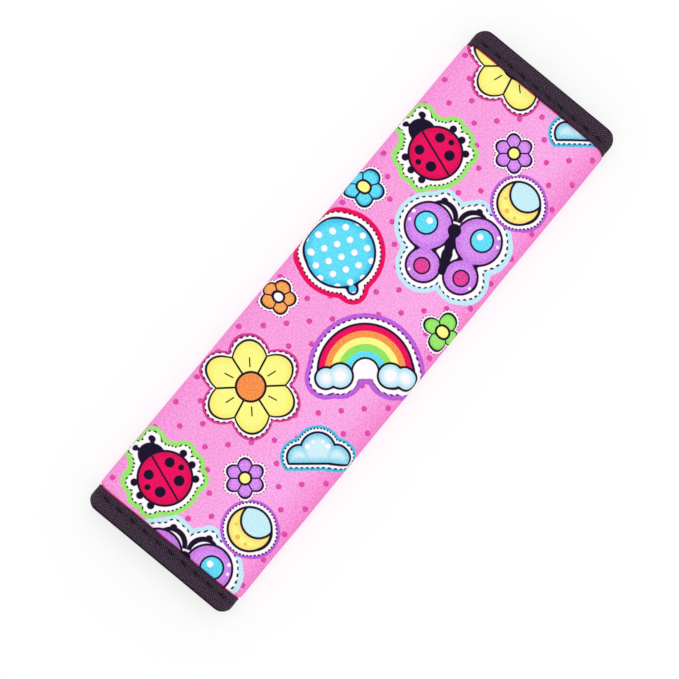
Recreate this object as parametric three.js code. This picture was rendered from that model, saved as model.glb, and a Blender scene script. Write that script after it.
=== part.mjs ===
// A padded sleeve for a car seat belt, the kind that spares a child's shoulder.
//
// The pad is cut and sewn flat, from a printed face cloth, a sheet of foam and a lining, with a tape
// bound over each end and a hook strip and a loop strip sewn near the long edges. It is then wrapped
// round the belt, and the two strips grip each other where its flaps overlap on the back.
// So every piece here is drawn flat first, and one function, wrap(), folds them all together.
//
// Flat coordinates: w runs across the cloth from the under flap's edge to the outer flap's edge with 0
// at the middle of the front, y runs along the belt, and d is the depth from the lining's belt side
// (0) to the printed side. Wrapped, the pad lies on its back: +Z is up, out of the front.
// All sizes are in millimetres.

import * as THREE from 'three';

// The pad's overall sizes
const padLength = 280;
const padWidth = 81;
const beltRoom = 7.6; // height of the belt's passage, beside the flaps' overlap
const crown = 1.5; // extra filling along the middle of the front

// The plies of the flat sheet
const cloth = 0.7; // face cloth and lining
const foam = 2.3;
const plyGap = 0.25; // air between two plies

// The end bindings
const tape = 0.5; // thickness of the twill tape
const tapeGap = 0.15;
const bindingWidth = 9.1; // of each leg, front and back
const endFoam = 0.8; // foam thickness pressed under the tape
const pressedLength = 5.4; // where the foam swells back to its full thickness
const tapeBend = 1.1; // inner radius where the tape turns over the end
const tapeOverhang = 0.8; // past the long edges of the cloth
const cornerPull = 3.8; // how far the tape's fold is drawn in at the pad's corners
const cornerWidth = 4.9; // of the rounded corner, seen from the front
const pullLeft = 0.2; // share of that pull at the tape's inner edge

// The needle thread of each binding
const threadWidth = 0.5;
const threadHeight = 0.25;
const threadGap = 0.15; // between thread and tape at a needle hole
const threadSeam = 6.3; // seam line, measured from the pad's end
const stitch = 3.7;

// The flaps on the back
const overlap = 26;
const edgeClearance = 0.75; // from one flap's edge to where the other starts to swell
const rampLength = 8.5; // over which the foam runs out to nothing
const hem = 5; // face cloth turned in along the long edges
const foamLeftInFlap = 0.05;

// Hook strip and loop strip
const stripWidth = 20;
const stripBase = 0.6;
const stripPile = 0.9; // hooks or loops standing on the base
const stripSelvedge = 1.5; // bare margin for the sewing
const stripGap = 0.15; // strip to cloth
const matingGap = 0.2; // hook to loop
const stripEndMargin = 1.5;

// How finely curves are stepped
const frontSteps = 4; // from the middle of the front to a side fold
const bendSteps = 12;
const rampSteps = 4;
const foamRampSteps = 3; // the foam is cut off before the ramp's last step
const swellSteps = 3;
const tapeSteps = 3; // in each quarter turn of the tape

// Sizes that follow from those above
const liningTop = cloth + plyGap;
const fullFilling = foam + plyGap;
const endFilling = endFoam + plyGap;
const padThickness = liningTop + fullFilling + cloth;
const flapThickness = liningTop + foamLeftInFlap + cloth;
const bindingRise = tapeGap + tape;
const threadRise = threadGap + threadHeight;
const strip = stripBase + stripPile;
const closedStack = 2 * flapThickness + 2 * (stripGap + strip) + matingGap;

const innerRadius = beltRoom / 2;
const outerRadius = innerRadius + padThickness;
const bendHeight = padThickness + innerRadius;
const frontUnderside = padThickness + beltRoom;

// Distances across the flat cloth, measured from the middle of the front
const frontHalf = padWidth / 2 - outerRadius;
const bendEnd = frontHalf + Math.PI * (innerRadius + padThickness / 2);
const flapLength = overlap + edgeClearance;
const rampStart = bendEnd + frontHalf - (overlap / 2 + edgeClearance + rampLength);
const flapStart = rampStart + rampLength;
const flatHalf = flapStart + flapLength;
const stripMiddle = flatHalf - overlap / 2;
const foamHalf = rampStart + (rampLength * foamRampSteps) / rampSteps;

// Distances in from the pad's end
const clothInset = tape + tapeBend - 0.2;
const swellEnd = bindingWidth + pressedLength;
const stripInset = swellEnd + stripEndMargin;

const smooth = (t) => THREE.MathUtils.smoothstep(t, 0, 1);
const mix = THREE.MathUtils.lerp;

// 0 where the sheet is padded, 1 in the thin flaps, at a distance across the cloth.
function flapShare(across) {
  return smooth((across - rampStart) / rampLength);
}

// 1 under the end bindings, 0 where the padding has swelled back.
function endShare(fromEnd) {
  return 1 - smooth((fromEnd - bindingWidth) / pressedLength);
}

// Extra filling under the front, rising from both side folds to the middle.
function crownAt(across) {
  return across < frontHalf ? crown * Math.cos((Math.PI * across) / (2 * frontHalf)) ** 2 : 0;
}

// Room between lining and face cloth, where the foam lies.
function filling(across, fromEnd) {
  const flap = flapShare(across);
  const free = mix(fullFilling + crownAt(across), foamLeftInFlap, flap);
  const pressed = mix(endFilling, foamLeftInFlap, flap);
  return mix(free, pressed, endShare(fromEnd));
}

// How far the lining moves towards the printed side near the ends, so that the tape and its thread end
// flush with the padded cloth. The under flap's tape is flush on its belt side instead.
function lift(w, fromEnd) {
  const flap = flapShare(Math.abs(w));
  const faceFlush = mix(fullFilling - endFilling, 0, flap) - bindingRise - threadRise;
  const flush = w < 0 ? mix(faceFlush, bindingRise, flap) : faceFlush;
  return flush * endShare(fromEnd);
}

// Depth in the pressed sheet of a point drawn at depth d in the full one. Only the foam gives way; the
// air above it stays as long as there is room.
function pressedDepth(d, across, fromEnd) {
  const room = filling(across, fromEnd);
  if (d <= liningTop) return d;
  if (d >= liningTop + fullFilling) return d - fullFilling + room;
  const air = Math.min(plyGap, room / 2);
  const foamTop = liningTop + foam;
  if (d < foamTop) return liningTop + ((d - liningTop) / foam) * (room - air);
  return liningTop + room - air + ((d - foamTop) / plyGap) * air;
}

// How far the pad's end is drawn in at a place in the side fold, which rounds its corner.
function cornerAt(turn) {
  const fromSide = outerRadius * (1 - Math.sin(turn));
  const share = Math.max(0, 1 - fromSide / cornerWidth);
  return cornerPull * (1 - Math.sqrt(1 - share ** 2));
}

// Share of the corner pull that is left at a distance from the end.
function pullShare(fromEnd) {
  if (fromEnd < bindingWidth) return mix(1, pullLeft, fromEnd / bindingWidth);
  return pullLeft * Math.max(0, 1 - (fromEnd - bindingWidth) / pressedLength);
}

// Height of the lining's belt side on the back: the outer flap sinks to the bottom, and the under flap
// climbs over it.
function backHeight(w) {
  const flapHeight = w > 0 ? flapThickness : closedStack;
  return mix(padThickness, flapHeight, flapShare(Math.abs(w)));
}

// Folds a point of the flat pad round the belt.
function wrap(w, d, y) {
  const side = Math.sign(w);
  const across = Math.abs(w);
  const fromEnd = padLength / 2 - Math.abs(y);
  const depth = lift(w, fromEnd) + pressedDepth(d, across, fromEnd);
  const folded = new THREE.Vector3();
  let pull = 0;
  if (across <= frontHalf) {
    folded.set(w, 0, frontUnderside + depth);
  } else if (across < bendEnd) {
    const turn = (Math.PI * (across - frontHalf)) / (bendEnd - frontHalf);
    const radius = innerRadius + depth;
    const x = side * (frontHalf + radius * Math.sin(turn));
    folded.set(x, 0, bendHeight + radius * Math.cos(turn));
    pull = cornerAt(turn) * pullShare(fromEnd);
  } else {
    folded.set(side * (frontHalf + bendEnd - across), 0, backHeight(w) - depth);
  }
  folded.y = Math.sign(y) * (padLength / 2 - fromEnd - pull);
  return folded;
}

// A ribbon of cloth or tape with some thickness, carried along a list of stations. Its profile is a list
// of pairs of points, the right-hand and the left-hand side of the ribbon as one walks along it, and
// place(u, v, k) gives a profile point its place at station k.
function ribbonGeometry(pairs, stationCount, place) {
  const count = pairs.length;
  const loop = [...pairs.map((pair) => pair[0]), ...pairs.map((pair) => pair[1]).reverse()];
  const positions = [];
  for (let k = 0; k < stationCount; k++) {
    for (const [u, v] of loop) positions.push(...place(u, v, k).toArray());
  }
  const indices = [];
  const quad = (a, b, c, d) => indices.push(a, b, c, a, c, d);
  for (let k = 0; k + 1 < stationCount; k++) {
    const here = k * loop.length;
    const next = here + loop.length;
    for (let i = 0; i < loop.length; i++) {
      const j = (i + 1) % loop.length;
      quad(here + i, here + j, next + j, next + i);
    }
  }
  // Both cut ends, closed from pair to pair
  const last = (stationCount - 1) * loop.length;
  for (let i = 0; i + 1 < count; i++) {
    const opposite = loop.length - 1 - i;
    quad(i, opposite, opposite - 1, i + 1);
    quad(last + i, last + i + 1, last + opposite - 1, last + opposite);
  }
  const geometry = new THREE.BufferGeometry();
  geometry.setAttribute('position', new THREE.Float32BufferAttribute(positions, 3));
  geometry.setIndex(indices);
  const flatShaded = geometry.toNonIndexed();
  flatShaded.computeVertexNormals();
  return flatShaded;
}

// Even steps from one value to another, without the last.
function steps(from, to, count) {
  return Array.from({ length: count }, (_, i) => mix(from, to, i / count));
}

// Every place across the cloth, from 0 to the edge, where the wrapped sheet changes direction.
const bendsAcross = [
  ...steps(0, frontHalf, frontSteps),
  ...steps(frontHalf, bendEnd, bendSteps),
  bendEnd,
  ...steps(rampStart, flapStart, rampSteps),
  flapStart,
];

// Those places on both sides, as far as a limit, which ends the list.
function acrossTo(limit) {
  const half = [...bendsAcross.filter((w) => w < limit), limit];
  return [...half.slice(1).reverse().map((w) => -w), ...half];
}

// Rows along the belt where the thickness changes, from the upper end to the lower one.
function rowsAlong(inset) {
  const swelling = [...steps(bindingWidth, swellEnd, swellSteps), swellEnd];
  const half = [inset, ...swelling.filter((row) => row > inset)];
  const upper = half.map((fromEnd) => padLength / 2 - fromEnd);
  return [...upper, 0, ...upper.map((y) => -y).reverse()];
}

// A ply of the sheet, or a strip sewn on it: a ribbon across the cloth that runs along the belt.
function plyGeometry(pairs, inset) {
  const rows = rowsAlong(inset);
  return ribbonGeometry(pairs, rows.length, (w, d, k) => wrap(w, d, rows[k]));
}

// A level ply between two depths, as wide as half says to each side.
function levelPly(bottom, top, half, inset) {
  return plyGeometry(acrossTo(half).map((w) => [[w, bottom], [w, top]]), inset);
}

// The face cloth is turned in along both long edges and hides the padding's edge there.
function faceClothGeometry() {
  const underside = padThickness - cloth;
  const edge = flatHalf - cloth;
  const turnedIn = flatHalf - hem;
  const top = acrossTo(edge).slice(1, -1).map((w) => [[w, underside], [w, padThickness]]);
  const rightHem = [
    [[edge, underside], [flatHalf, padThickness]],
    [[edge, cloth], [flatHalf, 0]],
    [[turnedIn, cloth], [turnedIn, 0]],
  ];
  const leftHem = rightHem.map((pair) => pair.map(([w, d]) => [-w, d])).reverse();
  return plyGeometry([...leftHem, ...top, ...rightHem], clothInset);
}

// Pairs of points round a quarter turn of the tape, its inner and its outer side.
function quarterTurn(centre, fromAngle) {
  return Array.from({ length: tapeSteps + 1 }, (_, i) => {
    const angle = fromAngle - (Math.PI / 2) * (i / tapeSteps);
    const onRadius = (r) => [centre[0] + r * Math.cos(angle), centre[1] + r * Math.sin(angle)];
    return [onRadius(tapeBend), onRadius(tapeBend + tape)];
  });
}

// The tape lies on the lining, turns over the cut end in a small curve and lies on the face cloth.
// end is 1 at the upper end and -1 at the lower end.
function bindingGeometry(end) {
  const onLining = -tapeGap;
  const onFace = padThickness + tapeGap;
  const turned = tape + tapeBend;
  const pairs = [
    [[bindingWidth, onLining], [bindingWidth, onLining - tape]],
    ...quarterTurn([turned, onLining + tapeBend], -Math.PI / 2),
    ...quarterTurn([turned, onFace - tapeBend], Math.PI),
    [[bindingWidth, onFace], [bindingWidth, onFace + tape]],
  ];
  const across = acrossTo(flatHalf + tapeOverhang);
  const place = (fromEnd, d, k) => wrap(-end * across[k], d, end * (padLength / 2 - fromEnd));
  return ribbonGeometry(pairs, across.length, place);
}

// The needle thread of a binding's seam: one thread that dips into the tape at every needle hole.
function seamThreadGeometry(end) {
  const stitches = Math.round((2 * flatHalf) / stitch);
  const stations = 2 * stitches + 1; // a needle hole and the middle of a stitch by turns
  const bottom = padThickness + bindingRise + threadGap;
  const top = bottom + threadHeight;
  const dip = threadHeight / 2; // the thread is drawn flatter at a needle hole
  const pairs = [
    [[threadSeam - threadWidth / 2, bottom], [threadSeam - threadWidth / 2, top]],
    [[threadSeam + threadWidth / 2, bottom], [threadSeam + threadWidth / 2, top]],
  ];
  const place = (fromEnd, d, k) => {
    const w = mix(flatHalf, -flatHalf, k / (stations - 1));
    const drawn = d > bottom && k % 2 === 0 ? dip : 0;
    return wrap(end * w, d - drawn, end * (padLength / 2 - fromEnd));
  };
  return ribbonGeometry(pairs, stations, place);
}

// Hook or loop strip: a woven base with bare margins for the sewing, and the pile between them.
function stripGeometry(middle, base, pileDirection) {
  const half = stripWidth / 2;
  const pileFoot = half - stripSelvedge;
  const pileEdge = pileFoot - stripPile / 4;
  const profile = [
    [-half, stripBase], [-pileFoot, stripBase], [-pileEdge, strip],
    [pileEdge, strip], [pileFoot, stripBase], [half, stripBase],
  ];
  const pairs = profile.map(([across, height]) => {
    const sides = [[middle + across, base], [middle + across, base + pileDirection * height]];
    return pileDirection > 0 ? sides : sides.reverse();
  });
  return plyGeometry(pairs, stripInset);
}

const finishes = {
  printedCloth: new THREE.MeshStandardMaterial({ color: '#fa9dde', roughness: 0.85, metalness: 0 }),
  foam: new THREE.MeshStandardMaterial({ color: '#e9e4d2', roughness: 0.95, metalness: 0 }),
  lining: new THREE.MeshStandardMaterial({ color: '#39343b', roughness: 0.9, metalness: 0 }),
  twillTape: new THREE.MeshStandardMaterial({ color: '#3b353d', roughness: 0.8, metalness: 0 }),
  thread: new THREE.MeshStandardMaterial({ color: '#2a252c', roughness: 0.6, metalness: 0 }),
  hookTape: new THREE.MeshStandardMaterial({ color: '#2e2a30', roughness: 0.5, metalness: 0 }),
  loopTape: new THREE.MeshStandardMaterial({ color: '#322d34', roughness: 0.95, metalness: 0 }),
};

const pad = new THREE.Group();

function addPiece(name, geometry, material) {
  const mesh = new THREE.Mesh(geometry, material);
  mesh.name = name;
  pad.add(mesh);
}

addPiece('face_cloth', faceClothGeometry(), finishes.printedCloth);
addPiece('foam_padding', levelPly(liningTop, liningTop + foam, foamHalf, clothInset), finishes.foam);
addPiece('lining', levelPly(0, cloth, flatHalf - hem - plyGap, clothInset), finishes.lining);
addPiece('end_binding_upper', bindingGeometry(1), finishes.twillTape);
addPiece('end_binding_lower', bindingGeometry(-1), finishes.twillTape);
addPiece('binding_thread_upper', seamThreadGeometry(1), finishes.thread);
addPiece('binding_thread_lower', seamThreadGeometry(-1), finishes.thread);
addPiece('hook_strip', stripGeometry(stripMiddle, -stripGap, -1), finishes.hookTape);
addPiece('loop_strip', stripGeometry(-stripMiddle, padThickness + stripGap, 1), finishes.loopTape);

export default pad;
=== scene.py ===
"""A padded sleeve for a car seat belt, dressed for the studio.

The pad is one flat sheet of printed cloth, foam and lining. It is folded round the belt, closed on its
back by a hook strip and a loop strip, and bound with twill tape at both ends. Every cloth piece here is
drawn flat, in millimetres, and folded by FoldedPad.wrap(), as in the solid model.
"""

import logging
import math
from dataclasses import dataclass
from enum import Enum
from functools import cached_property
from typing import Any, Callable, Sequence

import bpy
import numpy as np
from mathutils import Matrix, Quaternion, Vector


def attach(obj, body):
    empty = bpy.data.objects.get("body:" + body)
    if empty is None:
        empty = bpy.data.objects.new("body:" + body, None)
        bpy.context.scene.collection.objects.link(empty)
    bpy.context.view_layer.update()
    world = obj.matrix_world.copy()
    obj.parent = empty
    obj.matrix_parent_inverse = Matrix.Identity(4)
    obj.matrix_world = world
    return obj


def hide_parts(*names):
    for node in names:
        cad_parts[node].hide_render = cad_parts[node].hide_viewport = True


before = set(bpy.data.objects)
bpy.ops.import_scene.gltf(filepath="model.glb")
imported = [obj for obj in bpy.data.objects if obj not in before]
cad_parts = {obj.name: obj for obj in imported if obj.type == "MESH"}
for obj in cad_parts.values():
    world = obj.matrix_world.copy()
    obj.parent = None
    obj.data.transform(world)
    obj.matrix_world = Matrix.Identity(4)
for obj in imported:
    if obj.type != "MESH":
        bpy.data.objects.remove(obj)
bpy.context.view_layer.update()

MM = 0.001
TINY = 1e-12
BODY = "root"
CLOTH_MM = "cloth_mm"
# A Mix node's sockets when it mixes colours.
UNDER, OVER, MIXED = 6, 7, 2

log = logging.getLogger("seat_belt_pad")

Array = np.ndarray
Pair = tuple[tuple[float, float], tuple[float, float]]
Profile = tuple[list[Pair], list[float]]
Parts = tuple[Array, list[Array], Array]
Disc = tuple[float, float, float]
Spot = tuple[float, float, float, str]
Object = bpy.types.Object
Material = bpy.types.Material
Socket = bpy.types.NodeSocket


def linear(hex_colour: str) -> tuple[float, float, float, float]:
    """Turn an sRGB colour into the linear one that the renderer counts in.

    Args:
        hex_colour: The colour as "#rrggbb".

    Returns:
        Linear red, green and blue, and an alpha of 1.
    """
    parts = [int(hex_colour[i : i + 2], 16) / 255 for i in (1, 3, 5)]
    red, green, blue = [c / 12.92 if c <= 0.04045 else ((c + 0.055) / 1.055) ** 2.4 for c in parts]
    return red, green, blue, 1.0


def smooth(t: Array | float) -> Array:
    """Ease from 0 to 1 as t goes from 0 to 1, level at both ends."""
    t = np.clip(t, 0.0, 1.0)
    return t * t * (3 - 2 * t)


def blend(a: Array | float, b: Array | float, share: Array | float) -> Array:
    """Mix a and b, with share as the part of b."""
    return a + (b - a) * share


def hill(t: Array | float, width: float) -> Array:
    """A round hump of height 1 at t = 0 that has died out at about twice the width."""
    return np.exp(-((t / width) ** 2))


def ripple(w: Array, length: float, drift: float, drift_length: float) -> Array:
    """A wave along w whose place drifts to and fro, with the lengths of one radian."""
    return np.sin(w / length + drift * np.sin(w / drift_length))


def divided(sections: Sequence[tuple[float, float, float]]) -> Array:
    """Divide sections that lie end to end into steps.

    Args:
        sections: Start, end and longest step of each section.

    Returns:
        The places, from the start of the first section to the end of the last.
    """
    places = [np.array([sections[0][0]])]
    for low, high, step in sections:
        count = max(1, math.ceil((high - low) / step))
        places.append(np.linspace(low, high, count + 1)[1:])
    return np.concatenate(places)


# The folded sheet


@dataclass(frozen=True)
class FoldedPad:
    """The flat pad's sizes in millimetres, and how it is folded round the belt.

    Flat coordinates are w across the cloth, from the under flap's edge to the outer flap's edge with 0
    in the middle of the front, y along the belt, and the depth d from the lining's belt side.
    """

    length: float = 280.0
    width: float = 81.0
    belt_room: float = 7.6
    crown: float = 1.5
    cloth: float = 0.7
    foam: float = 2.3
    ply_gap: float = 0.25
    tape: float = 0.5
    tape_gap: float = 0.15
    tape_bend: float = 1.1
    tape_overhang: float = 0.8
    binding_width: float = 9.9
    end_foam: float = 0.8
    pressed_length: float = 5.4
    fold_width: float = 7.0
    shorter_in_fold: float = 0.8
    tape_stitch: float = 7.35
    corner_pull: float = 3.8
    corner_width: float = 4.9
    pull_left: float = 0.2
    thread_rise: float = 0.4
    overlap: float = 26.0
    edge_clearance: float = 0.75
    ramp_length: float = 8.5
    foam_share_of_ramp: float = 0.75
    hem: float = 5.0
    foam_left_in_flap: float = 0.05
    strip_width: float = 20.0
    strip_base: float = 0.6
    strip_pile: float = 0.9
    strip_gap: float = 0.15
    mating_gap: float = 0.2
    strip_inset: float = 16.0

    @cached_property
    def lining_top(self) -> float:
        """Depth at which the foam starts."""
        return self.cloth + self.ply_gap

    @cached_property
    def full_filling(self) -> float:
        """Room between lining and face cloth where the pad is padded."""
        return self.foam + self.ply_gap

    @cached_property
    def end_filling(self) -> float:
        """That room under the end bindings."""
        return self.end_foam + self.ply_gap

    @cached_property
    def thickness(self) -> float:
        """Thickness of the padded sheet."""
        return self.lining_top + self.full_filling + self.cloth

    @cached_property
    def flap_thickness(self) -> float:
        """Thickness of the unpadded flaps."""
        return self.lining_top + self.foam_left_in_flap + self.cloth

    @cached_property
    def binding_rise(self) -> float:
        """How far the tape stands above the cloth under it."""
        return self.tape_gap + self.tape

    @cached_property
    def strip(self) -> float:
        """Thickness of the hook strip, and of the loop strip."""
        return self.strip_base + self.strip_pile

    @cached_property
    def closed_stack(self) -> float:
        """Height of the two flaps and the two strips, closed."""
        layers = 2 * self.flap_thickness + 2 * (self.strip_gap + self.strip)
        return layers + self.mating_gap

    @cached_property
    def inner_radius(self) -> float:
        """Radius of the lining in the side folds."""
        return self.belt_room / 2

    @cached_property
    def front_half(self) -> float:
        """Half the width of the level front."""
        return self.width / 2 - self.inner_radius - self.thickness

    @cached_property
    def bend_end(self) -> float:
        """Where a side fold ends, across the flat cloth."""
        return self.front_half + math.pi * (self.inner_radius + self.thickness / 2)

    @cached_property
    def fold_middle(self) -> float:
        """Where a side fold has turned half-way, across the flat cloth."""
        return (self.front_half + self.bend_end) / 2

    @cached_property
    def ramp_start(self) -> float:
        """Where the foam starts to run out, across the flat cloth."""
        back = self.front_half - self.overlap / 2 - self.edge_clearance
        return self.bend_end + back - self.ramp_length

    @cached_property
    def flap_start(self) -> float:
        """Where the thin flap starts, across the flat cloth."""
        return self.ramp_start + self.ramp_length

    @cached_property
    def flat_half(self) -> float:
        """Half the width of the flat cloth."""
        return self.flap_start + self.overlap + self.edge_clearance

    @cached_property
    def strip_middle(self) -> float:
        """Where the middle of a strip lies, across the flat cloth."""
        return self.flat_half - self.overlap / 2

    @cached_property
    def strip_seam(self) -> tuple[float, float]:
        """Half the width and half the length of the seam round a strip."""
        inset = 0.75
        return self.strip_width / 2 - inset, self.length / 2 - self.strip_inset - inset

    @cached_property
    def foam_half(self) -> float:
        """Half the width of the foam."""
        return self.ramp_start + self.foam_share_of_ramp * self.ramp_length

    @cached_property
    def cloth_inset(self) -> float:
        """How far inside the pad's ends the cloths and the foam are cut."""
        tucked_in = 0.2
        return self.tape + self.tape_bend - tucked_in

    def flap_share(self, across: Array) -> Array:
        """0 where the sheet is padded, 1 in the thin flaps."""
        return smooth((across - self.ramp_start) / self.ramp_length)

    def end_share(self, across: Array, from_end: Array) -> Array:
        """Share of the end bindings' pressure, which the padding loses sooner in the side folds.

        Args:
            across: Distance across the cloth from the middle of the front.
            from_end: Distance from the nearer end of the pad.

        Returns:
            1 under the bindings, 0 where the padding has swelled back.
        """
        fold = hill(across - self.fold_middle, self.fold_width)
        reach = self.pressed_length * (1 - self.shorter_in_fold * fold)
        return 1 - smooth((from_end - self.binding_width) / reach)

    def filling(self, across: Array, from_end: Array) -> Array:
        """Room between lining and face cloth.

        Args:
            across: Distance across the cloth from the middle of the front.
            from_end: Distance from the nearer end of the pad.

        Returns:
            The room, in millimetres.
        """
        crown = np.where(
            across < self.front_half,
            self.crown * np.cos(np.pi * across / (2 * self.front_half)) ** 2,
            0.0,
        )
        flap = self.flap_share(across)
        free = blend(self.full_filling + crown, self.foam_left_in_flap, flap)
        pressed = blend(self.end_filling, self.foam_left_in_flap, flap)
        return blend(free, pressed, self.end_share(across, from_end))

    def lift(self, w: Array, from_end: Array) -> Array:
        """How far the lining moves outwards near the ends, to bring the tape flush with the cloth.

        Args:
            w: Places across the flat cloth.
            from_end: Distance from the nearer end of the pad.

        Returns:
            The lift, in millimetres.
        """
        flap = self.flap_share(np.abs(w))
        sunk = blend(self.full_filling - self.end_filling, 0.0, flap)
        face_flush = sunk - self.binding_rise - self.thread_rise
        flush = np.where(w < 0, blend(face_flush, self.binding_rise, flap), face_flush)
        return flush * self.end_share(np.abs(w), from_end)

    def pressed_depth(self, d: Array, across: Array, from_end: Array) -> Array:
        """Depth that a point of the full sheet gets when only the foam gives way.

        Args:
            d: The point's depth in the full sheet.
            across: Distance across the cloth from the middle of the front.
            from_end: Distance from the nearer end of the pad.

        Returns:
            Its depth in the pressed sheet.
        """
        room = self.filling(across, from_end)
        air = np.minimum(self.ply_gap, room / 2)
        foam_top = self.lining_top + self.foam
        in_foam = self.lining_top + (d - self.lining_top) / self.foam * (room - air)
        in_air = self.lining_top + room - air + (d - foam_top) / self.ply_gap * air
        below, above = d <= self.lining_top, d >= self.lining_top + self.full_filling
        depths = [d, d - self.full_filling + room, in_foam]
        return np.select([below, above, d < foam_top], depths, in_air)

    def pull_share(self, from_end: Array) -> Array:
        """Share of the corner pull that is left.

        Args:
            from_end: Distance from the nearer end of the pad.

        Returns:
            1 at the end, 0 where the padding has swelled back.
        """
        under_tape = blend(1.0, self.pull_left, from_end / self.binding_width)
        beyond = 1 - (from_end - self.binding_width) / self.pressed_length
        swelling = self.pull_left * np.maximum(0.0, beyond)
        return np.where(from_end < self.binding_width, under_tape, swelling)

    def wrap(self, w: Array, d: Array, y: Array, rise: Array | float = 0.0) -> Array:
        """Fold points of the flat pad round the belt.

        Args:
            w: Places across the flat cloth.
            d: Depths in the full sheet.
            y: Places along the belt.
            rise: Extra height towards the printed side.

        Returns:
            The folded points in metres, with x, y and z in the last dimension.
        """
        w, d, y, rise = np.broadcast_arrays(w, d, y, rise)
        side, across = np.sign(w), np.abs(w)
        from_end = self.length / 2 - np.abs(y)
        depth = self.lift(w, from_end) + self.pressed_depth(d, across, from_end) + rise
        bend = (across - self.front_half) / (self.bend_end - self.front_half)
        turn = np.pi * np.clip(bend, 0.0, 1.0)
        radius = self.inner_radius + depth
        flap_height = np.where(w > 0, self.flap_thickness, self.closed_stack)
        back = blend(self.thickness, flap_height, self.flap_share(across))
        # On the front and in the side folds; what is left is the back.
        where = [across <= self.front_half, across < self.bend_end]
        in_fold = side * (self.front_half + radius * np.sin(turn))
        x = np.select(where, [w, in_fold], side * (self.front_half + self.bend_end - across))
        front_height = self.thickness + self.belt_room + depth
        fold_height = self.thickness + self.inner_radius + radius * np.cos(turn)
        z = np.select(where, [front_height, fold_height], back - depth)
        from_side = (self.inner_radius + self.thickness) * (1 - np.sin(turn))
        corner = np.maximum(0.0, 1 - from_side / self.corner_width)
        drawn_in = self.corner_pull * (1 - np.sqrt(1 - corner**2))
        pull = drawn_in * self.pull_share(from_end)
        along = np.sign(y) * (self.length / 2 - from_end - pull)
        return np.stack([x, along, z], axis=-1) * MM

    def stations(self, limit: float, step: float) -> Array:
        """Places across the cloth, close enough together to draw every fold.

        Args:
            limit: Distance from the middle at which the piece ends.
            step: Distance between two places, at most.

        Returns:
            The places, from -limit to limit.
        """
        breaks = [0.0, self.front_half, self.bend_end, self.ramp_start, self.flap_start]
        breaks = [b for b in breaks if b < limit] + [limit]
        right = divided([(low, high, step) for low, high in zip(breaks, breaks[1:])])
        return np.concatenate([-right[:0:-1], right])

    def rows(self, fine: float, coarse: float) -> Array:
        """Places along the belt, close together near the bindings.

        Args:
            fine: Step near the bindings.
            coarse: Step in the middle.

        Returns:
            The places, from the upper end of the cloths to the lower one.
        """
        under_tape, near_end = 1.6, 26.0
        below = divided(
            [
                (self.cloth_inset, self.binding_width, under_tape),
                (self.binding_width, near_end, fine),
                (near_end, self.length / 2, coarse),
            ]
        )
        upper = self.length / 2 - below
        return np.concatenate([upper, -upper[-2::-1]])


PAD = FoldedPad()


@dataclass(frozen=True)
class Relief:
    """The small unevenness that sewing leaves in the padded cloth; all sizes in millimetres.

    Soft billows calm down towards the pad's sides, and puckers and longer drags run out of the tape.
    """

    billow: float = 0.16
    billows: int = 12
    billow_width: tuple[float, float] = (26.0, 80.0)
    billow_length: tuple[float, float] = (24.0, 95.0)
    billow_free: float = 12.0
    calm_from: float = 22.0
    calm_over: float = 14.0
    calmed: float = 0.75
    pucker: float = 0.17
    pucker_reach: float = 5.0
    drag: float = 0.132
    drag_reach: float = 11.0
    at_tape: float = 1.2
    wobble: tuple[float, float] = (6.1, 2.7)
    pucker_wobble: float = 0.7
    fold: float = 2.15
    fold_drift: tuple[float, float] = (1.3, 7.7)
    groove: float = 0.24
    groove_width: float = 0.6
    seed: int = 11

    @cached_property
    def waves(self) -> Array:
        """Draw the waves that make up the billows.

        Returns:
            Radians a millimetre across and along the cloth, and phases, with a column for each wave.
        """
        rng = np.random.default_rng(self.seed)
        across = 2 * np.pi / rng.uniform(*self.billow_width, self.billows)
        across *= rng.choice([-1, 1], self.billows)
        along = 2 * np.pi / rng.uniform(*self.billow_length, self.billows)
        return np.stack([across, along, rng.uniform(0, 2 * np.pi, self.billows)])

    def height(self, w: Array, y: Array) -> Array:
        """Extra height of the printed cloth.

        Args:
            w: Places across the flat cloth.
            y: Places along the belt.

        Returns:
            Millimetres towards the printed side.
        """
        w, y = np.broadcast_arrays(w, y)
        from_end = PAD.length / 2 - np.abs(y)
        beyond = np.maximum(0.0, from_end - PAD.binding_width)
        across = np.abs(w)
        padded = 1 - PAD.flap_share(across)
        level = 1 - self.calmed * smooth((across - self.calm_from) / self.calm_over)
        # Underneath, where the pad lies on its back, the cloth is flat.
        level *= 1 - smooth((across - PAD.fold_middle) / (PAD.bend_end - PAD.fold_middle))
        # All the waves together are about this many times as high as one.
        added_up = 2.2
        swell = sum(np.sin(a * w + b * y + phase) for a, b, phase in self.waves.T)
        swell = swell * (self.billow / added_up)
        free = smooth(beyond / self.billow_free)
        # The seam gathers the cloth: one ripple a stitch, and longer folds that run out of the seam.
        # Their lengths and places wobble a little, and differ at the two ends.
        long, short = self.wobble
        drift, drift_length = self.fold_drift
        end = np.sign(y)
        wobble = np.sin(w / long + end) + 0.6 * np.sin(w / short + 2 * end)
        puckers = np.cos(2 * np.pi * w / PAD.tape_stitch + self.pucker_wobble * wobble)
        folds = np.sin(w / self.fold + drift * np.sin(w / drift_length + end))
        folds = folds * (0.6 + 0.4 * wobble)
        near_tape = smooth(beyond / self.at_tape)
        gathers = self.pucker * puckers * np.exp(-beyond / self.pucker_reach)
        drags = self.drag * folds * np.exp(-beyond / self.drag_reach)
        # The seams that hold the hook and the loop strip draw a groove into the flaps.
        half, reach = PAD.strip_seam
        off_seam = np.maximum(np.abs(across - PAD.strip_middle) - half, np.abs(y) - reach)
        groove = self.groove * hill(off_seam, self.groove_width)
        waves = swell * free + near_tape * (gathers + drags)
        return padded * level * waves - groove


RELIEF = Relief()


# Meshes


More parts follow.
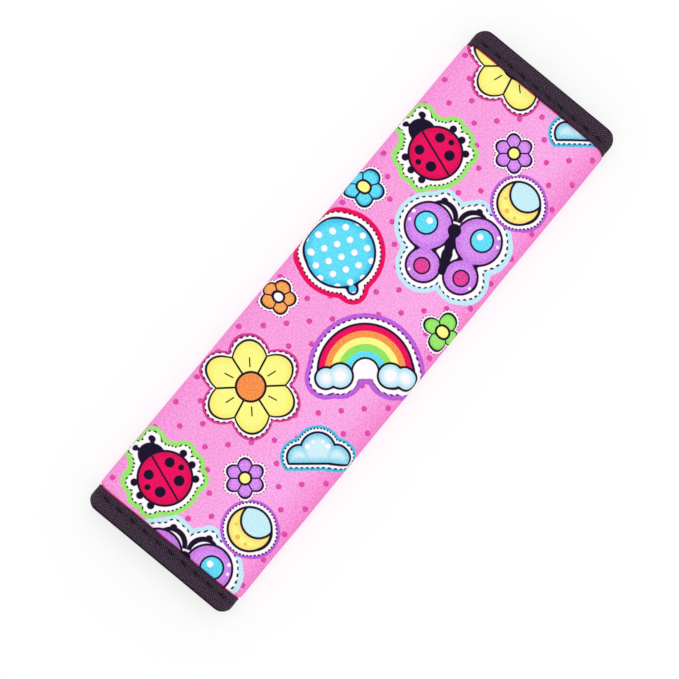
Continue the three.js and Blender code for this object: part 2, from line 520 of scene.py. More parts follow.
def make_piece(
    name: str, points: Array, faces: Sequence[Array], flat: Array, crease: float = 50.0
) -> Object:
    """Make an object out of points and faces, and let it ride on the pad.

    Args:
        name: The piece's name.
        points: Its points in metres, one per row.
        faces: Groups of faces, each an array with one face per row.
        flat: Flat cloth coordinates in millimetres of each point, for the materials.
        crease: Angle in degrees from which an edge looks sharp.

    Returns:
        The new object.
    """
    mesh = bpy.data.meshes.new(name)
    loops = np.concatenate([group.ravel() for group in faces])
    sizes = np.concatenate([np.full(len(g), g.shape[1]) for g in faces])
    starts = np.concatenate([[0], np.cumsum(sizes)[:-1]])
    mesh.vertices.add(len(points))
    mesh.vertices.foreach_set("co", points.astype(np.float32).ravel())
    mesh.loops.add(len(loops))
    mesh.loops.foreach_set("vertex_index", loops.astype(np.int32))
    mesh.polygons.add(len(sizes))
    mesh.polygons.foreach_set("loop_start", starts.astype(np.int32))
    mesh.update(calc_edges=True)
    layer = mesh.uv_layers.new(name=CLOTH_MM)
    layer.data.foreach_set("uv", flat[loops].astype(np.float32).ravel())
    mesh.polygons.foreach_set("use_smooth", np.ones(len(sizes), dtype=bool))
    mesh.set_sharp_from_angle(angle=math.radians(crease))
    mesh.validate()
    piece = bpy.data.objects.new(name, mesh)
    bpy.context.scene.collection.objects.link(piece)
    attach(piece, BODY)
    return piece


def carried(size: int, stations: int) -> list[Array]:
    """Faces of a closed profile that is carried along some stations, with both ends closed.

    Args:
        size: Number of points round the profile, the second half opposite the first.
        stations: Number of stations.

    Returns:
        The groups of faces.
    """
    grid = np.arange(stations * size).reshape(stations, size)
    here, after = grid[:-1], grid[1:]
    around = [here, np.roll(here, -1, 1), np.roll(after, -1, 1), after]
    first = np.arange(size // 2 - 1)
    other = size - 1 - first
    start = np.stack([first, other, other - 1, first + 1], axis=-1)
    end = np.stack([first, first + 1, other - 1, other], axis=-1) + grid[-1, 0]
    return [np.stack(around, axis=-1).reshape(-1, 4), start, end]


def ribbon(
    name: str,
    profile: Profile,
    stations: Array,
    place: Callable[[Array, Array, Array], Array],
    across_first: bool,
) -> Object:
    """A strip of cloth or tape with some thickness, carried along a list of stations.

    Args:
        name: The piece's name.
        profile: Pairs of points on the right and on the left of the strip as one walks along its
            profile, and the flat coordinate of each pair.
        stations: The stations' own coordinate.
        place: Gives points in metres from profile u, profile v and station.
        across_first: Whether the profile runs across the flat cloth, and the stations along it.

    Returns:
        The new object.
    """
    pairs, flat = profile
    loop = np.array([pair[0] for pair in pairs] + [pair[1] for pair in reversed(pairs)])
    way, there = np.broadcast_arrays(np.array([*flat, *reversed(flat)]), stations[:, None])
    points = place(loop[None, :, 0], loop[None, :, 1], stations[:, None])
    flat_points = np.stack([way, there] if across_first else [there, way], axis=-1)
    faces = carried(len(loop), len(stations))
    return make_piece(name, points.reshape(-1, 3), faces, flat_points.reshape(-1, 2))


def tube(name: str, path: Array, radius: float | Array, sides: int, closed: bool = False) -> Object:
    """A round thread along a path, whose flat coordinates are its ways along and round the thread.

    Args:
        name: The piece's name.
        path: Points of its centre line in metres.
        radius: Its radius in metres, or one radius for each point.
        sides: Number of sides.
        closed: Whether the path ends where it starts.

    Returns:
        The new object.
    """
    before = np.roll(path, 1, 0) if closed else np.vstack([path[:1], path[:-1]])
    after = np.roll(path, -1, 0) if closed else np.vstack([path[1:], path[-1:]])
    tangent = after - before
    tangent /= np.linalg.norm(tangent, axis=1, keepdims=True) + TINY
    # The guide starts square to the thread, off any axis, and turns no more than the thread does.
    guide = np.empty_like(tangent)
    guide[0] = np.cross(tangent[0], [0.31, 0.17, 0.93])
    for i in range(1, len(path)):
        guide[i] = guide[i - 1] - tangent[i] * (guide[i - 1] @ tangent[i])
        guide[i] /= np.linalg.norm(guide[i]) + TINY
    guide[0] /= np.linalg.norm(guide[0])
    other = np.cross(tangent, guide)
    angle = np.arange(sides) * 2 * np.pi / sides
    cosine, sine = np.cos(angle)[:, None], np.sin(angle)[:, None]
    ring = cosine * guide[:, None] + sine * other[:, None]
    thick = np.broadcast_to(np.asarray(radius, dtype=float), (len(path),))
    points = (path[:, None] + ring * thick[:, None, None]).reshape(-1, 3)
    grid = np.arange(len(path) * sides).reshape(len(path), sides)
    here = grid if closed else grid[:-1]
    there = np.roll(grid, -1, 0) if closed else grid[1:]
    around = [here, np.roll(here, -1, 1), np.roll(there, -1, 1), there]
    faces = [np.stack(around, axis=-1).reshape(-1, 4)]
    if not closed:
        faces += [grid[:1, ::-1], grid[-1:]]
    step = np.linalg.norm(np.diff(path, axis=0), axis=1)
    way = np.concatenate([[0], np.cumsum(step)]) / MM
    flat = np.stack(np.broadcast_arrays(way[:, None], angle * thick[:, None] / MM), -1)
    return make_piece(name, points, faces, flat.reshape(-1, 2), crease=80.0)


# Materials


class Shader:
    """A material in the making."""

    def __init__(self, name: str) -> None:
        """Start a material with one principled shader.

        Args:
            name: The material's name.
        """
        self.material = bpy.data.materials.new(name)
        self.material.use_nodes = True
        self.tree = self.material.node_tree
        self.surface = self.tree.nodes["Principled BSDF"]

    def add(
        self, kind: str, inputs: dict[Any, Any], out: int | str = 0, **settings: Any
    ) -> Socket:
        """Add a node with its settings and links.

        Args:
            kind: The node's type, without its "ShaderNode".
            inputs: Values or sockets by the name or number of the node's input.
            out: Name or number of the output to return.
            **settings: The node's own settings.

        Returns:
            One of the node's outputs.
        """
        node = self.tree.nodes.new("ShaderNode" + kind)
        for key, value in settings.items():
            setattr(node, key, value)
        for key, value in inputs.items():
            if isinstance(value, Socket):
                self.tree.links.new(value, node.inputs[key])
            else:
                node.inputs[key].default_value = value
        return node.outputs[out]

    def off_line(self, distance: Socket, line: float) -> Socket:
        """Distance from a line that follows an edge, or the middle of something.

        Args:
            distance: Distance from the edge or the middle.
            line: The line's own distance from it.

        Returns:
            The distance, on both sides of the line.
        """
        off_line = self.add("Math", {0: distance, 1: line}, operation="SUBTRACT")
        return self.add("Math", {0: off_line}, operation="ABSOLUTE")

    def finish(
        self,
        colour: Socket,
        height: Socket,
        bump: tuple[float, float],
        roughness: float,
        ior: float,
        sheen: float = 0.0,
        gloss: float = 0.5,
    ) -> Material:
        """Set the surface's own values and links.

        Args:
            colour: The base colour.
            height: Height of the surface's relief, from 0 to about 1.
            bump: The relief's strength, and its depth in millimetres.
            roughness: The roughness, the same all over.
            ior: The index of refraction.
            sheen: Weight of the fibres' sheen.
            gloss: Specular level, 0.5 where it is the index of refraction's own.

        Returns:
            The finished material.
        """
        inputs = {"Height": height, "Strength": bump[0], "Distance": bump[1] * MM}
        relief = self.add("Bump", inputs, "Normal")
        self.tree.links.new(colour, self.surface.inputs["Base Color"])
        self.tree.links.new(relief, self.surface.inputs["Normal"])
        self.surface.inputs["Roughness"].default_value = roughness
        self.surface.inputs["IOR"].default_value = ior
        self.surface.inputs["Sheen Weight"].default_value = sheen
        self.surface.inputs["Sheen Roughness"].default_value = 0.5
        self.surface.inputs["Specular IOR Level"].default_value = gloss
        return self.material


INK = "#1a1030"
WHITE = "#ffffff"
PAPER = "#fffbff"
YELLOW = "#fdfb8a"
CYAN = "#65e9ff"
PURPLE = "#e09dff"
RED = "#f80a66"

# A wave texture of this scale has bands one unit apart.
WAVE_BAND = 0.314


@dataclass(frozen=True)
class Layer:
    """One shape of a figure: discs that run together, outlined in ink. Sizes are in millimetres.

    A twin layer is mirrored about the figure's middle line. The hole is cut out of it, and nothing of
    it is below its foot. The fillet is how softly its discs join, and the seam a line of ink down its
    middle. Spots are discs of colour printed on it, and dots the pitch of pale ones all over it. A
    layer with petals reaches as far as its one disc, and is notched between them.
    """

    discs: tuple[Disc, ...]
    fill: str
    deep: str = ""
    twin: bool = False
    fillet: float = 0.0
    hole: Disc | None = None
    foot: float | None = None
    seam: bool = False
    dots: float = 0.0
    spots: tuple[Spot, ...] = ()
    petals: int = 0


@dataclass(frozen=True)
class Flower:
    """A flower of round petals with a button in the middle."""

    fill: str
    deep: str
    button: str
    petals: int

    def layers(self) -> tuple[Layer, ...]:
        """The petals and the button."""
        petals = Layer(((0, 0, 21),), self.fill, self.deep, petals=self.petals)
        return petals, Layer(((0, 0, 6.6),), self.button)


BUTTERFLY = (
    Layer(((7.5, 14, 7), (8.4, 21, 1.2)), INK, twin=True, hole=(8.5, 12.9, 7), foot=14),
    Layer(
        ((12, 8, 11), (9, -10, 8)),
        PURPLE,
        "#d58cf8",
        twin=True,
        fillet=3,
        spots=(
            (13.5, 9, 5.7, INK),
            (13.5, 9, 4.8, CYAN),
            (12.2, 10.4, 1.5, PAPER),
            (9.5, -10.5, 4.1, INK),
            (9.5, -10.5, 3.3, "#ee4ba8"),
            (20.6, 12.6, 0.9, PAPER),
            (21.2, 8.4, 0.7, PAPER),
            (14.6, -13.8, 0.7, PAPER),
        ),
    ),
    Layer(((0, 9.5, 2.6), (0, 3, 2.1), (0, -2, 2), (0, -6, 1.8), (0, -10, 1.3)), INK, fillet=4),
)
BALLOON = (Layer(((0, 2, 17), (0, -17, 2.4)), CYAN, "#46d5f8", fillet=3, dots=6.6),)
RAINBOW = (
    Layer(
        ((0, 0, 21.8),),
        RED,
        hole=(0, 0, 6.2),
        foot=-1,
        spots=(
            (0, 0, 18.6, "#ffa552"),
            (0, 0, 15.6, YELLOW),
            (0, 0, 12.6, "#93ee68"),
            (0, 0, 9.4, CYAN),
        ),
    ),
    Layer(((11.5, -2, 5.8), (18, -3, 5)), PAPER, "#bfeffa", twin=True, fillet=1),
)
LADYBIRD = (
    Layer(((14, 4, 1.3), (14.8, -3, 1.3), (12.8, -10, 1.3), (4.6, 17.6, 1)), INK, twin=True),
    Layer(((0, 10.5, 6), (3.7, 16.2, 0.4)), INK, twin=True),
    Layer(
        ((0, -2, 13.5),),
        RED,
        "#e60a5c",
        twin=True,
        seam=True,
        spots=((6, 3.6, 2.5, INK), (5.4, -6.6, 2.7, INK), (9.6, -1.4, 1.5, INK)),
    ),
)
CLOUD = (
    Layer(
        ((9, 0, 6), (0, 3.5, 8.5)),
        "#d3f6fd",
        "#8fe0f6",
        twin=True,
        foot=-3.2,
        spots=((5, 5.2, 1.3, PAPER), (2.4, 7.4, 0.8, PAPER)),
    ),
)
MOON = (
    Layer(((0, 0, 12.5),), "#c9f4fc"),
    Layer(
        ((0, 0, 12.5),),
        YELLOW,
        "#ffe77a",
        hole=(6.5, 2.5, 10),
        spots=((-8, -1.5, 1.5, "#ffc95a"), (-5.6, -7, 1, "#ffc95a"), (-6, 5.6, 0.9, "#ffc95a")),
    ),
)


@dataclass(frozen=True)
class Axes:
    """A figure's own coordinates in millimetres, and its angle in radians.

    Twin is the place mirrored about the figure's middle line, and x the distance from that line. For a
    flower, bulge is 1 in the middle of a petal and 0 between two, and valley the other way round.
    """

    plain: Socket
    twin: Socket
    x: Socket
    y: Socket
    radius: Socket
    angle: Socket
    bulge: Socket | None = None
    valley: Socket | None = None

    def of(self, layer: Layer) -> Socket:
        """The place that a layer is drawn by."""
        return self.twin if layer.twin else self.plain


@dataclass(frozen=True)
class Sticker:
    """One figure of the print's repeat, cut out with a white border and a coloured rim.

    Its place is given in millimetres on the flat cloth, and its turn in degrees. The share is that of
    the border's full width. A small sticker has only a line of fine stitches round its border.
    """

    layers: tuple[Layer, ...]
    across: float
    along: float
    turn: float
    size: float
    rim: str = "#9c2f86"
    share: float = 1.0
    small: bool = False


@dataclass(frozen=True)
class PrintedKnit:
    """Polyester knit, heat-printed on its smooth side and bonded to foam. Sizes are in millimetres.

    The eye gets flat, bright print colours, broken by the knit's fine grain and lit softly, with the
    faintest sheen at a low angle. Its ground carries painted shade, deeper in the side folds, and
    painted light, paler towards one side of the front.
    """

    ground: str = "#fface9"
    # Painted light: the ground turns to this paler colour over this span across the front.
    painted_light_ground: str = "#ffb4f0"
    painted_light_span: tuple[float, float] = (-12.0, 16.0)
    # Painted shade in the side folds: its two colours, and the span across the cloth over which it sets
    # in.
    fold_painted_shade: tuple[str, str] = ("#ffa1e6", "#ff93dc")
    fold_painted_shade_span: tuple[float, float] = (24.0, 42.0)
    thin: str = "#e7bcd7"
    dot: str = "#ec55b8"
    dot_pitch: float = 10.32
    dot_turn: float = 45.0
    dot_radius: float = 1.3
    # Painted shadow along the tape's inner edge: its colour, its reach and how soft its edge is.
    tape_edge_shadow: str = "#d2307c"
    tape_edge_shadow_reach: float = 0.45
    tape_edge_shadow_edge: float = 0.5
    repeat: tuple[float, float] = (96.5, 190.0)
    edge: float = 0.26
    border: float = 2.0
    small_border: float = 0.5
    rim: float = 2.2
    ink: float = 1.05
    join: float = 1.5
    figure_radius: float = 20.0
    figure_dot: float = 1.55
    shade_from: float = 2.0
    shade_edge: float = 2.6
    seam: float = 0.45
    crease_at: float = 11.0
    crease_half: float = 2.2
    crease_width: float = 0.3
    petal_gap: float = 0.42
    small_gap: float = 0.3
    notch: float = 0.27
    notch_of_four: float = 0.5
    dash: tuple[float, float] = (2.4, 0.36)
    small_dash: tuple[float, float] = (1.5, 0.24)
    grain: float = 0.85
    grain_range: tuple[float, float] = (0.4, 0.6)
    grain_in_red: float = 0.25
    rib: float = 0.83
    bump: tuple[float, float] = (0.28, 0.12)
    roughness: float = 0.85
    ior: float = 1.5
    sheen: float = 0.03
    gloss: float = 0.12
    stickers: tuple[Sticker, ...] = (
        Sticker(BUTTERFLY, 13, 50, 22, 0.98, "#c4f2fb"),
        Sticker(BALLOON, -22, 17, 58, 0.92, RED),
        Sticker(RAINBOW, 19, -16, 40, 0.98, "#c96bec"),
        Sticker(Flower(YELLOW, "#fdf277", "#ff9d4d", 6).layers(), -16, -54, 12, 1.0, "#e0459b", 0.62),
        Sticker(LADYBIRD, -21, 81, 70, 0.9, "#9df072"),
        Sticker(CLOUD, 27, -59, 40, 0.92, "#3fd0ee", 0.62),
        Sticker(MOON, 24, 87, 62, 0.78, "#c96bec", 0.62),
        Sticker(Flower(CYAN, "#3fc4ee", YELLOW, 5).layers(), -34, 48, 20, 0.42, small=True),
        Sticker(Flower("#9df072", "#83e65a", YELLOW, 4).layers(), 34, 20, 10, 0.42, small=True),
        Sticker(Flower(PURPLE, "#d086f6", YELLOW, 6).layers(), 8, -87, 10, 0.42, small=True),
        Sticker(Flower("#ffb45e", "#ffa24a", PAPER, 5).layers(), -32, -15, 30, 0.36, small=True),
    )

    def mask(self, s: Shader, distance: Socket, reach: float, edge: float = 0.0) -> Socket:
        """1 where a distance is below a reach, 0 beyond it.

        Args:
            s: The material.
            distance: Distance in millimetres.
            reach: Where the edge lies.
            edge: How wide the change is, or 0 for the print's own sharpness.

        Returns:
            The mask.
        """
        edge = edge or self.edge
        inputs = {0: distance, 1: -1 / edge, 2: reach / edge + 0.5}
        return s.add("Math", inputs, operation="MULTIPLY_ADD", use_clamp=True)

    def paint(self, s: Shader, under: Socket, over: str, *masks: Socket) -> Socket:
        """Print a colour over another one where all the masks are 1.

        Args:
            s: The material.
            under: The print so far.
            over: The colour.
            *masks: One mask or two.

        Returns:
            The print with that colour on it.
        """
        mask = masks[0]
        if len(masks) == 2:
            mask = s.add("Math", {0: masks[0], 1: masks[1]}, operation="MULTIPLY")
        inputs = {"Factor": mask, UNDER: under, OVER: linear(over)}
        return s.add("Mix", inputs, MIXED, data_type="RGBA")

    def off_dots(self, s: Shader, place: Socket, pitch: float) -> Socket:
        """Distance from the nearest dot of a square grid.

        Args:
            s: The material.
            place: Coordinates on the cloth or in a figure.
            pitch: Distance between two dots.

        Returns:
            The distance.
        """
        half = pitch / 2
        inputs = {0: place, 1: (half, half, 1), 2: (-half, -half, -1)}
        cell = s.add("VectorMath", inputs, operation="WRAP")
        return s.add("VectorMath", {0: cell}, "Value", operation="LENGTH")

    def petals(self, s: Shader, layer: Layer, axes: Axes, size: float) -> Socket:
        """Distance from the edge of a ring of petals.

        Args:
            s: The material.
            layer: The petals' layer.
            axes: The figure's own coordinates.
            size: Its scale.

        Returns:
            The distance, negative inside.
        """
        reach = layer.discs[0][2] * size
        notch = self.notch_of_four if layer.petals == 4 else self.notch
        inputs = {0: axes.bulge, 1: -notch * reach, 2: -(1 - notch) * reach}
        edge = s.add("Math", inputs, operation="MULTIPLY_ADD")
        return s.add("Math", {0: axes.radius, 1: edge}, operation="ADD")

    def joined_discs(self, s: Shader, layer: Layer, at: Socket, size: float) -> Socket:
        """Distance from the edge of discs that run together.

        Args:
            s: The material.
            layer: The discs' layer.
            at: The figure's own coordinates, mirrored for a twin layer.
            size: Its scale.

        Returns:
            The distance, negative inside.
        """
        whole = None
        for x, y, radius in layer.discs:
            middle = (x * size, y * size, 0)
            away = s.add("VectorMath", {0: at, 1: middle}, "Value", operation="DISTANCE")
            disc = s.add("Math", {0: away, 1: radius * size}, operation="SUBTRACT")
            if whole is not None:
                inputs = {0: whole, 1: disc, 2: layer.fillet * size}
                disc = s.add("Math", inputs, operation="SMOOTH_MIN")
            whole = disc
        return whole

    def outline(self, s: Shader, layer: Layer, axes: Axes, size: float) -> tuple[Socket, Socket]:
        """Distances from a layer's edge, negative inside it.

        Args:
            s: The material.
            layer: The layer.
            axes: The figure's own coordinates.
            size: Its scale.

        Returns:
            The distance with the hole filled, and with the hole cut out.
        """
        at = axes.of(layer)
        if layer.petals:
            whole = self.petals(s, layer, axes, size)
        else:
            whole = self.joined_discs(s, layer, at, size)
        if layer.foot is not None:
            below = s.add("Math", {0: layer.foot * size, 1: axes.y}, operation="SUBTRACT")
            whole = s.add("Math", {0: whole, 1: below}, operation="MAXIMUM")
        if layer.hole is None:
            return whole, whole
        x, y, radius = (size * value for value in layer.hole)
        away = s.add("VectorMath", {0: at, 1: (x, y, 0)}, "Value", operation="DISTANCE")
        inside = s.add("Math", {0: radius, 1: away}, operation="SUBTRACT")
        return whole, s.add("Math", {0: whole, 1: inside}, operation="MAXIMUM")

    def border_stitches(
        self, s: Shader, colour: Socket, away: Socket, axes: Axes, reach: float, one: Sticker
    ) -> Socket:
        """Draw small dashes round a sticker's white border.

        Args:
            s: The material.
            colour: The print so far.
            away: Distance from the figure.
            axes: The figure's own coordinates.
            reach: Where the border ends.
            one: The sticker.

        Returns:
            The print with the dashes on it.
        """
        (pitch, half), ink = (self.small_dash, one.rim) if one.small else (self.dash, INK)
        around = 2 * math.pi * (self.figure_radius * one.size + reach)
        count = float(round(around / pitch))
        turns = s.add("Math", {0: axes.angle, 1: count}, operation="MULTIPLY")
        foot = one.layers[0].foot
        if foot is not None and len(one.layers) == 1:
            # Along a straight foot the angle changes too fast, so the dashes are counted across.
            inputs = {0: axes.x, 1: 2 * math.pi / pitch, 2: math.pi / 2}
            across = s.add("Math", inputs, operation="MULTIPLY_ADD")
            below = self.mask(s, axes.y, foot * one.size - reach / 2)
            turns = s.add("Mix", {"Factor": below, 2: turns, 3: across})
        beat = s.add("Math", {0: turns}, operation="SINE")
        # Dashes and gaps are equally long, with an edge of a twentieth of the pitch.
        dash = s.add("Math", {0: beat, 1: 3.0, 2: 0.5}, operation="MULTIPLY_ADD", use_clamp=True)
        line = self.mask(s, s.off_line(away, reach), half)
        return self.paint(s, colour, ink, line, dash)

    def petal_lines(
        self, s: Shader, colour: Socket, axes: Axes, inside: Socket, one: Sticker
    ) -> Socket:
        """Part the petals with lines of ink, and draw a short crease in each.

        Args:
            s: The material.
            colour: The print so far.
            axes: The figure's own coordinates.
            inside: Mask of the flower.
            one: The sticker.

        Returns:
            The print with the lines on it.
        """
        share = 2 / one.layers[0].petals
        half_line = self.ink * (self.small_gap if one.small else self.petal_gap)
        off_gap = s.add("Math", {0: axes.radius, 1: axes.bulge}, operation="MULTIPLY")
        colour = self.paint(s, colour, INK, self.mask(s, off_gap, half_line / share), inside)
        if one.small:
            return colour
        off_middle = s.add("Math", {0: axes.radius, 1: axes.valley}, operation="MULTIPLY")
        crease = self.mask(s, off_middle, self.crease_width / share)
        length = self.mask(s, s.off_line(axes.radius, self.crease_at), self.crease_half)
        return self.paint(s, colour, INK, crease, length)

    def filled(
        self, s: Shader, colour: Socket, layer: Layer, distance: Socket, axes: Axes, one: Sticker
    ) -> Socket:
        """Print one layer: its line of ink, its colours and what is drawn on it.

        Args:
            s: The material.
            colour: The print so far.
            layer: The layer.
            distance: Distance from the layer's edge, negative inside it.
            axes: The figure's own coordinates.
            one: The sticker.

        Returns:
            The print with the layer on it.
        """
        size = one.size
        colour = self.paint(s, colour, INK, self.mask(s, distance, self.ink / 2))
        if layer.fill == INK:
            return colour
        inside = self.mask(s, distance, -self.ink / 2)
        colour = self.paint(s, colour, layer.deep or layer.fill, inside)
        if layer.deep:
            bright_from = -self.ink / 2 - self.shade_from * size
            bright = self.mask(s, distance, bright_from, self.shade_edge * size)
            colour = self.paint(s, colour, layer.fill, bright)
        if layer.petals:
            colour = self.petal_lines(s, colour, axes, inside, one)
        if layer.dots:
            off_dot = self.off_dots(s, axes.plain, layer.dots * size)
            dots = self.mask(s, off_dot, self.figure_dot * size)
            colour = self.paint(s, colour, PAPER, dots, inside)
        at = axes.of(layer)
        for x, y, radius, ink in layer.spots:
            middle = (x * size, y * size, 0)
            off_spot = s.add("VectorMath", {0: at, 1: middle}, "Value", operation="DISTANCE")
            colour = self.paint(s, colour, ink, self.mask(s, off_spot, radius * size), inside)
        if layer.seam:
            colour = self.paint(s, colour, INK, self.mask(s, axes.x, self.seam), inside)
        return colour

    def sticker(self, s: Shader, colour: Socket, axes: Axes, one: Sticker) -> Socket:
        """Print one sticker.

        Args:
            s: The material.
            colour: The print so far.
            axes: The figure's own coordinates.
            one: The sticker.

        Returns:
            The print with the sticker on it.
        """
        outlines = [self.outline(s, layer, axes, one.size) for layer in one.layers]
        away = outlines[0][0]
        for whole, _ in outlines[1:]:
            away = s.add("Math", {0: away, 1: whole, 2: self.join}, operation="SMOOTH_MIN")
        share = self.small_border if one.small else one.share
        white = self.ink / 2 + self.border * share
        if not one.small:
            colour = self.paint(s, colour, one.rim, self.mask(s, away, white + self.rim * share))
        colour = self.paint(s, colour, PAPER, self.mask(s, away, white))
        colour = self.border_stitches(s, colour, away, axes, white, one)
        for layer, (_, distance) in zip(one.layers, outlines):
            colour = self.filled(s, colour, layer, distance, axes, one)
        return colour

    def figure_axes(self, s: Shader, flat: Socket, one: Sticker) -> Axes:
        """A sticker's own coordinates, which come again with each repeat of the print.

        Args:
            s: The material.
            flat: Flat cloth coordinates in millimetres.
            one: The sticker.

        Returns:
            The coordinates.
        """
        wide, tall = self.repeat[0] / 2, self.repeat[1] / 2
        inputs = {0: flat, 1: (one.across, one.along, 0)}
        off_middle = s.add("VectorMath", inputs, operation="SUBTRACT")
        inputs = {0: off_middle, 1: (wide, tall, 1), 2: (-wide, -tall, -1)}
        near = s.add("VectorMath", inputs, operation="WRAP")
        inputs = {"Vector": near, "Angle": math.radians(-one.turn)}
        plain = s.add("VectorRotate", inputs, rotation_type="Z_AXIS")
        across = s.add("SeparateXYZ", {0: plain}, "X")
        y = across.node.outputs["Y"]
        x = s.add("Math", {0: across}, operation="ABSOLUTE")
        twin = s.add("CombineXYZ", {"X": x, "Y": y})
        radius = s.add("VectorMath", {0: plain}, "Value", operation="LENGTH")
        angle = s.add("Math", {0: y, 1: across}, operation="ARCTAN2")
        waves, petals = [], one.layers[0].petals
        if petals:
            turns = s.add("Math", {0: angle, 1: petals / 2}, operation="MULTIPLY")
            for operation in ("COSINE", "SINE"):
                wave = s.add("Math", {0: turns}, operation=operation)
                waves.append(s.add("Math", {0: wave}, operation="ABSOLUTE"))
        return Axes(plain, twin, x, y, radius, angle, *waves)

    def ground_with_painted_light_and_shade(self, s: Shader, across: Socket) -> Socket:
        """The ground's colour, with painted light paler towards one side and painted shade deeper in the
        side folds.

        Args:
            s: The material.
            across: Place across the flat cloth.

        Returns:
            The colour.
        """
        from_middle = s.add("Math", {0: across}, operation="ABSOLUTE")
        shares = []
        for place, (low, high) in ((from_middle, self.fold_painted_shade_span), (across, self.painted_light_span)):
            inputs = {"Value": place, "From Min": low, "From Max": high}
            shares.append(s.add("MapRange", inputs, interpolation_type="SMOOTHSTEP"))
        # fold is the share of the painted shade in the side folds.
        fold, painted_light_share = shares
        colours = []
        # The plain ground and the fold shade both turn paler towards one side, as painted light.
        for left, right in ((self.ground, self.painted_light_ground), self.fold_painted_shade):
            inputs = {"Factor": painted_light_share, UNDER: linear(left), OVER: linear(right)}
            colours.append(s.add("Mix", inputs, MIXED, data_type="RGBA"))
        inputs = {"Factor": fold, UNDER: colours[0], OVER: colours[1]}
        return s.add("Mix", inputs, MIXED, data_type="RGBA")

    def printed(self, s: Shader, flat: Socket) -> Socket:
        """Print the whole cloth: ground, dots and stickers.

        Args:
            s: The material.
            flat: Flat cloth coordinates in millimetres.

        Returns:
            The cloth's colour.
        """
        across = s.add("SeparateXYZ", {0: flat}, "X")
        along = across.node.outputs["Y"]
        colour = self.ground_with_painted_light_and_shade(s, across)
        inputs = {"Vector": flat, "Angle": math.radians(self.dot_turn)}
        turned = s.add("VectorRotate", inputs, rotation_type="Z_AXIS")
        off_dot = self.off_dots(s, turned, self.dot_pitch)
        colour = self.paint(s, colour, self.dot, self.mask(s, off_dot, self.dot_radius))
        for one in self.stickers:
            colour = self.sticker(s, colour, self.figure_axes(s, flat, one), one)
        # Painted shadow: the print is darkened along the tape's edge, where the tape presses into the
        # cloth.
        from_middle = s.add("Math", {0: along}, operation="ABSOLUTE")
        inputs = {0: PAD.length / 2 - PAD.binding_width, 1: from_middle}
        off_tape = s.add("Math", inputs, operation="SUBTRACT")
        mask = self.mask(s, off_tape, self.tape_edge_shadow_reach, self.tape_edge_shadow_edge)
        inputs = {"Factor": mask, UNDER: colour, OVER: linear(self.tape_edge_shadow)}
        return s.add("Mix", inputs, MIXED, data_type="RGBA", blend_type="MULTIPLY")

    def material(self) -> Material:
        """Make the material.

        Returns:
            The finished material.
        """
        s = Shader("printed polyester knit")
        flat = s.add("UVMap", {}, uv_map=CLOTH_MM)
        colour = self.printed(s, flat)
        # The knit's grain is 0.45 mm in the cloth and is drawn twice as coarse, so that it shows.
        inputs = {"Vector": flat, "Scale": 1 / self.grain, "Detail": 2.0, "Roughness": 0.7}
        grain = s.add("TexNoise", inputs, "Fac", noise_dimensions="2D")
        # The dye has a grain where it is strong: all of it where green is missing, less where red is.
        # The pale inks hide it.
        missing = []
        for part in ("Green", "Red"):
            light = s.add("SeparateColor", {0: colour}, part)
            missing.append(s.add("Math", {0: 1.0, 1: light}, operation="SUBTRACT", use_clamp=True))
        inputs = {0: missing[1], 1: self.grain_in_red, 2: missing[0]}
        strong = s.add("Math", inputs, operation="MULTIPLY_ADD")
        low, high = self.grain_range
        shade = s.add("MapRange", {"Value": grain, "From Min": low, "From Max": high})
        shade = s.add("Math", {0: shade, 1: strong}, operation="MULTIPLY")
        inputs = {"Factor": shade, UNDER: colour, OVER: linear(self.thin)}
        colour = s.add("Mix", inputs, MIXED, data_type="RGBA", blend_type="MULTIPLY")
        # The knit's ribs are a little over a third of the grain wide.
        inputs = {"Vector": flat, "Scale": self.rib / self.grain, "Distortion": 1.2, "Detail": 1.0}
        ribs = s.add("TexWave", inputs, "Fac", bands_direction="X")
        knit = s.add("Math", {0: grain, 1: ribs}, operation="ADD")
        return s.finish(colour, knit, self.bump, self.roughness, self.ior, self.sheen, self.gloss)


@dataclass(frozen=True)
class PaintedShadeLine:
    """A line of painted shade along both legs of a folded tape.

    It lies at a distance from the tape's own middle, keeps the given share of the light as far as its
    core, and none of its darkness is left at its reach. Sizes are in millimetres.
    """

    at: float
    core: float
    reach: float
    share: float


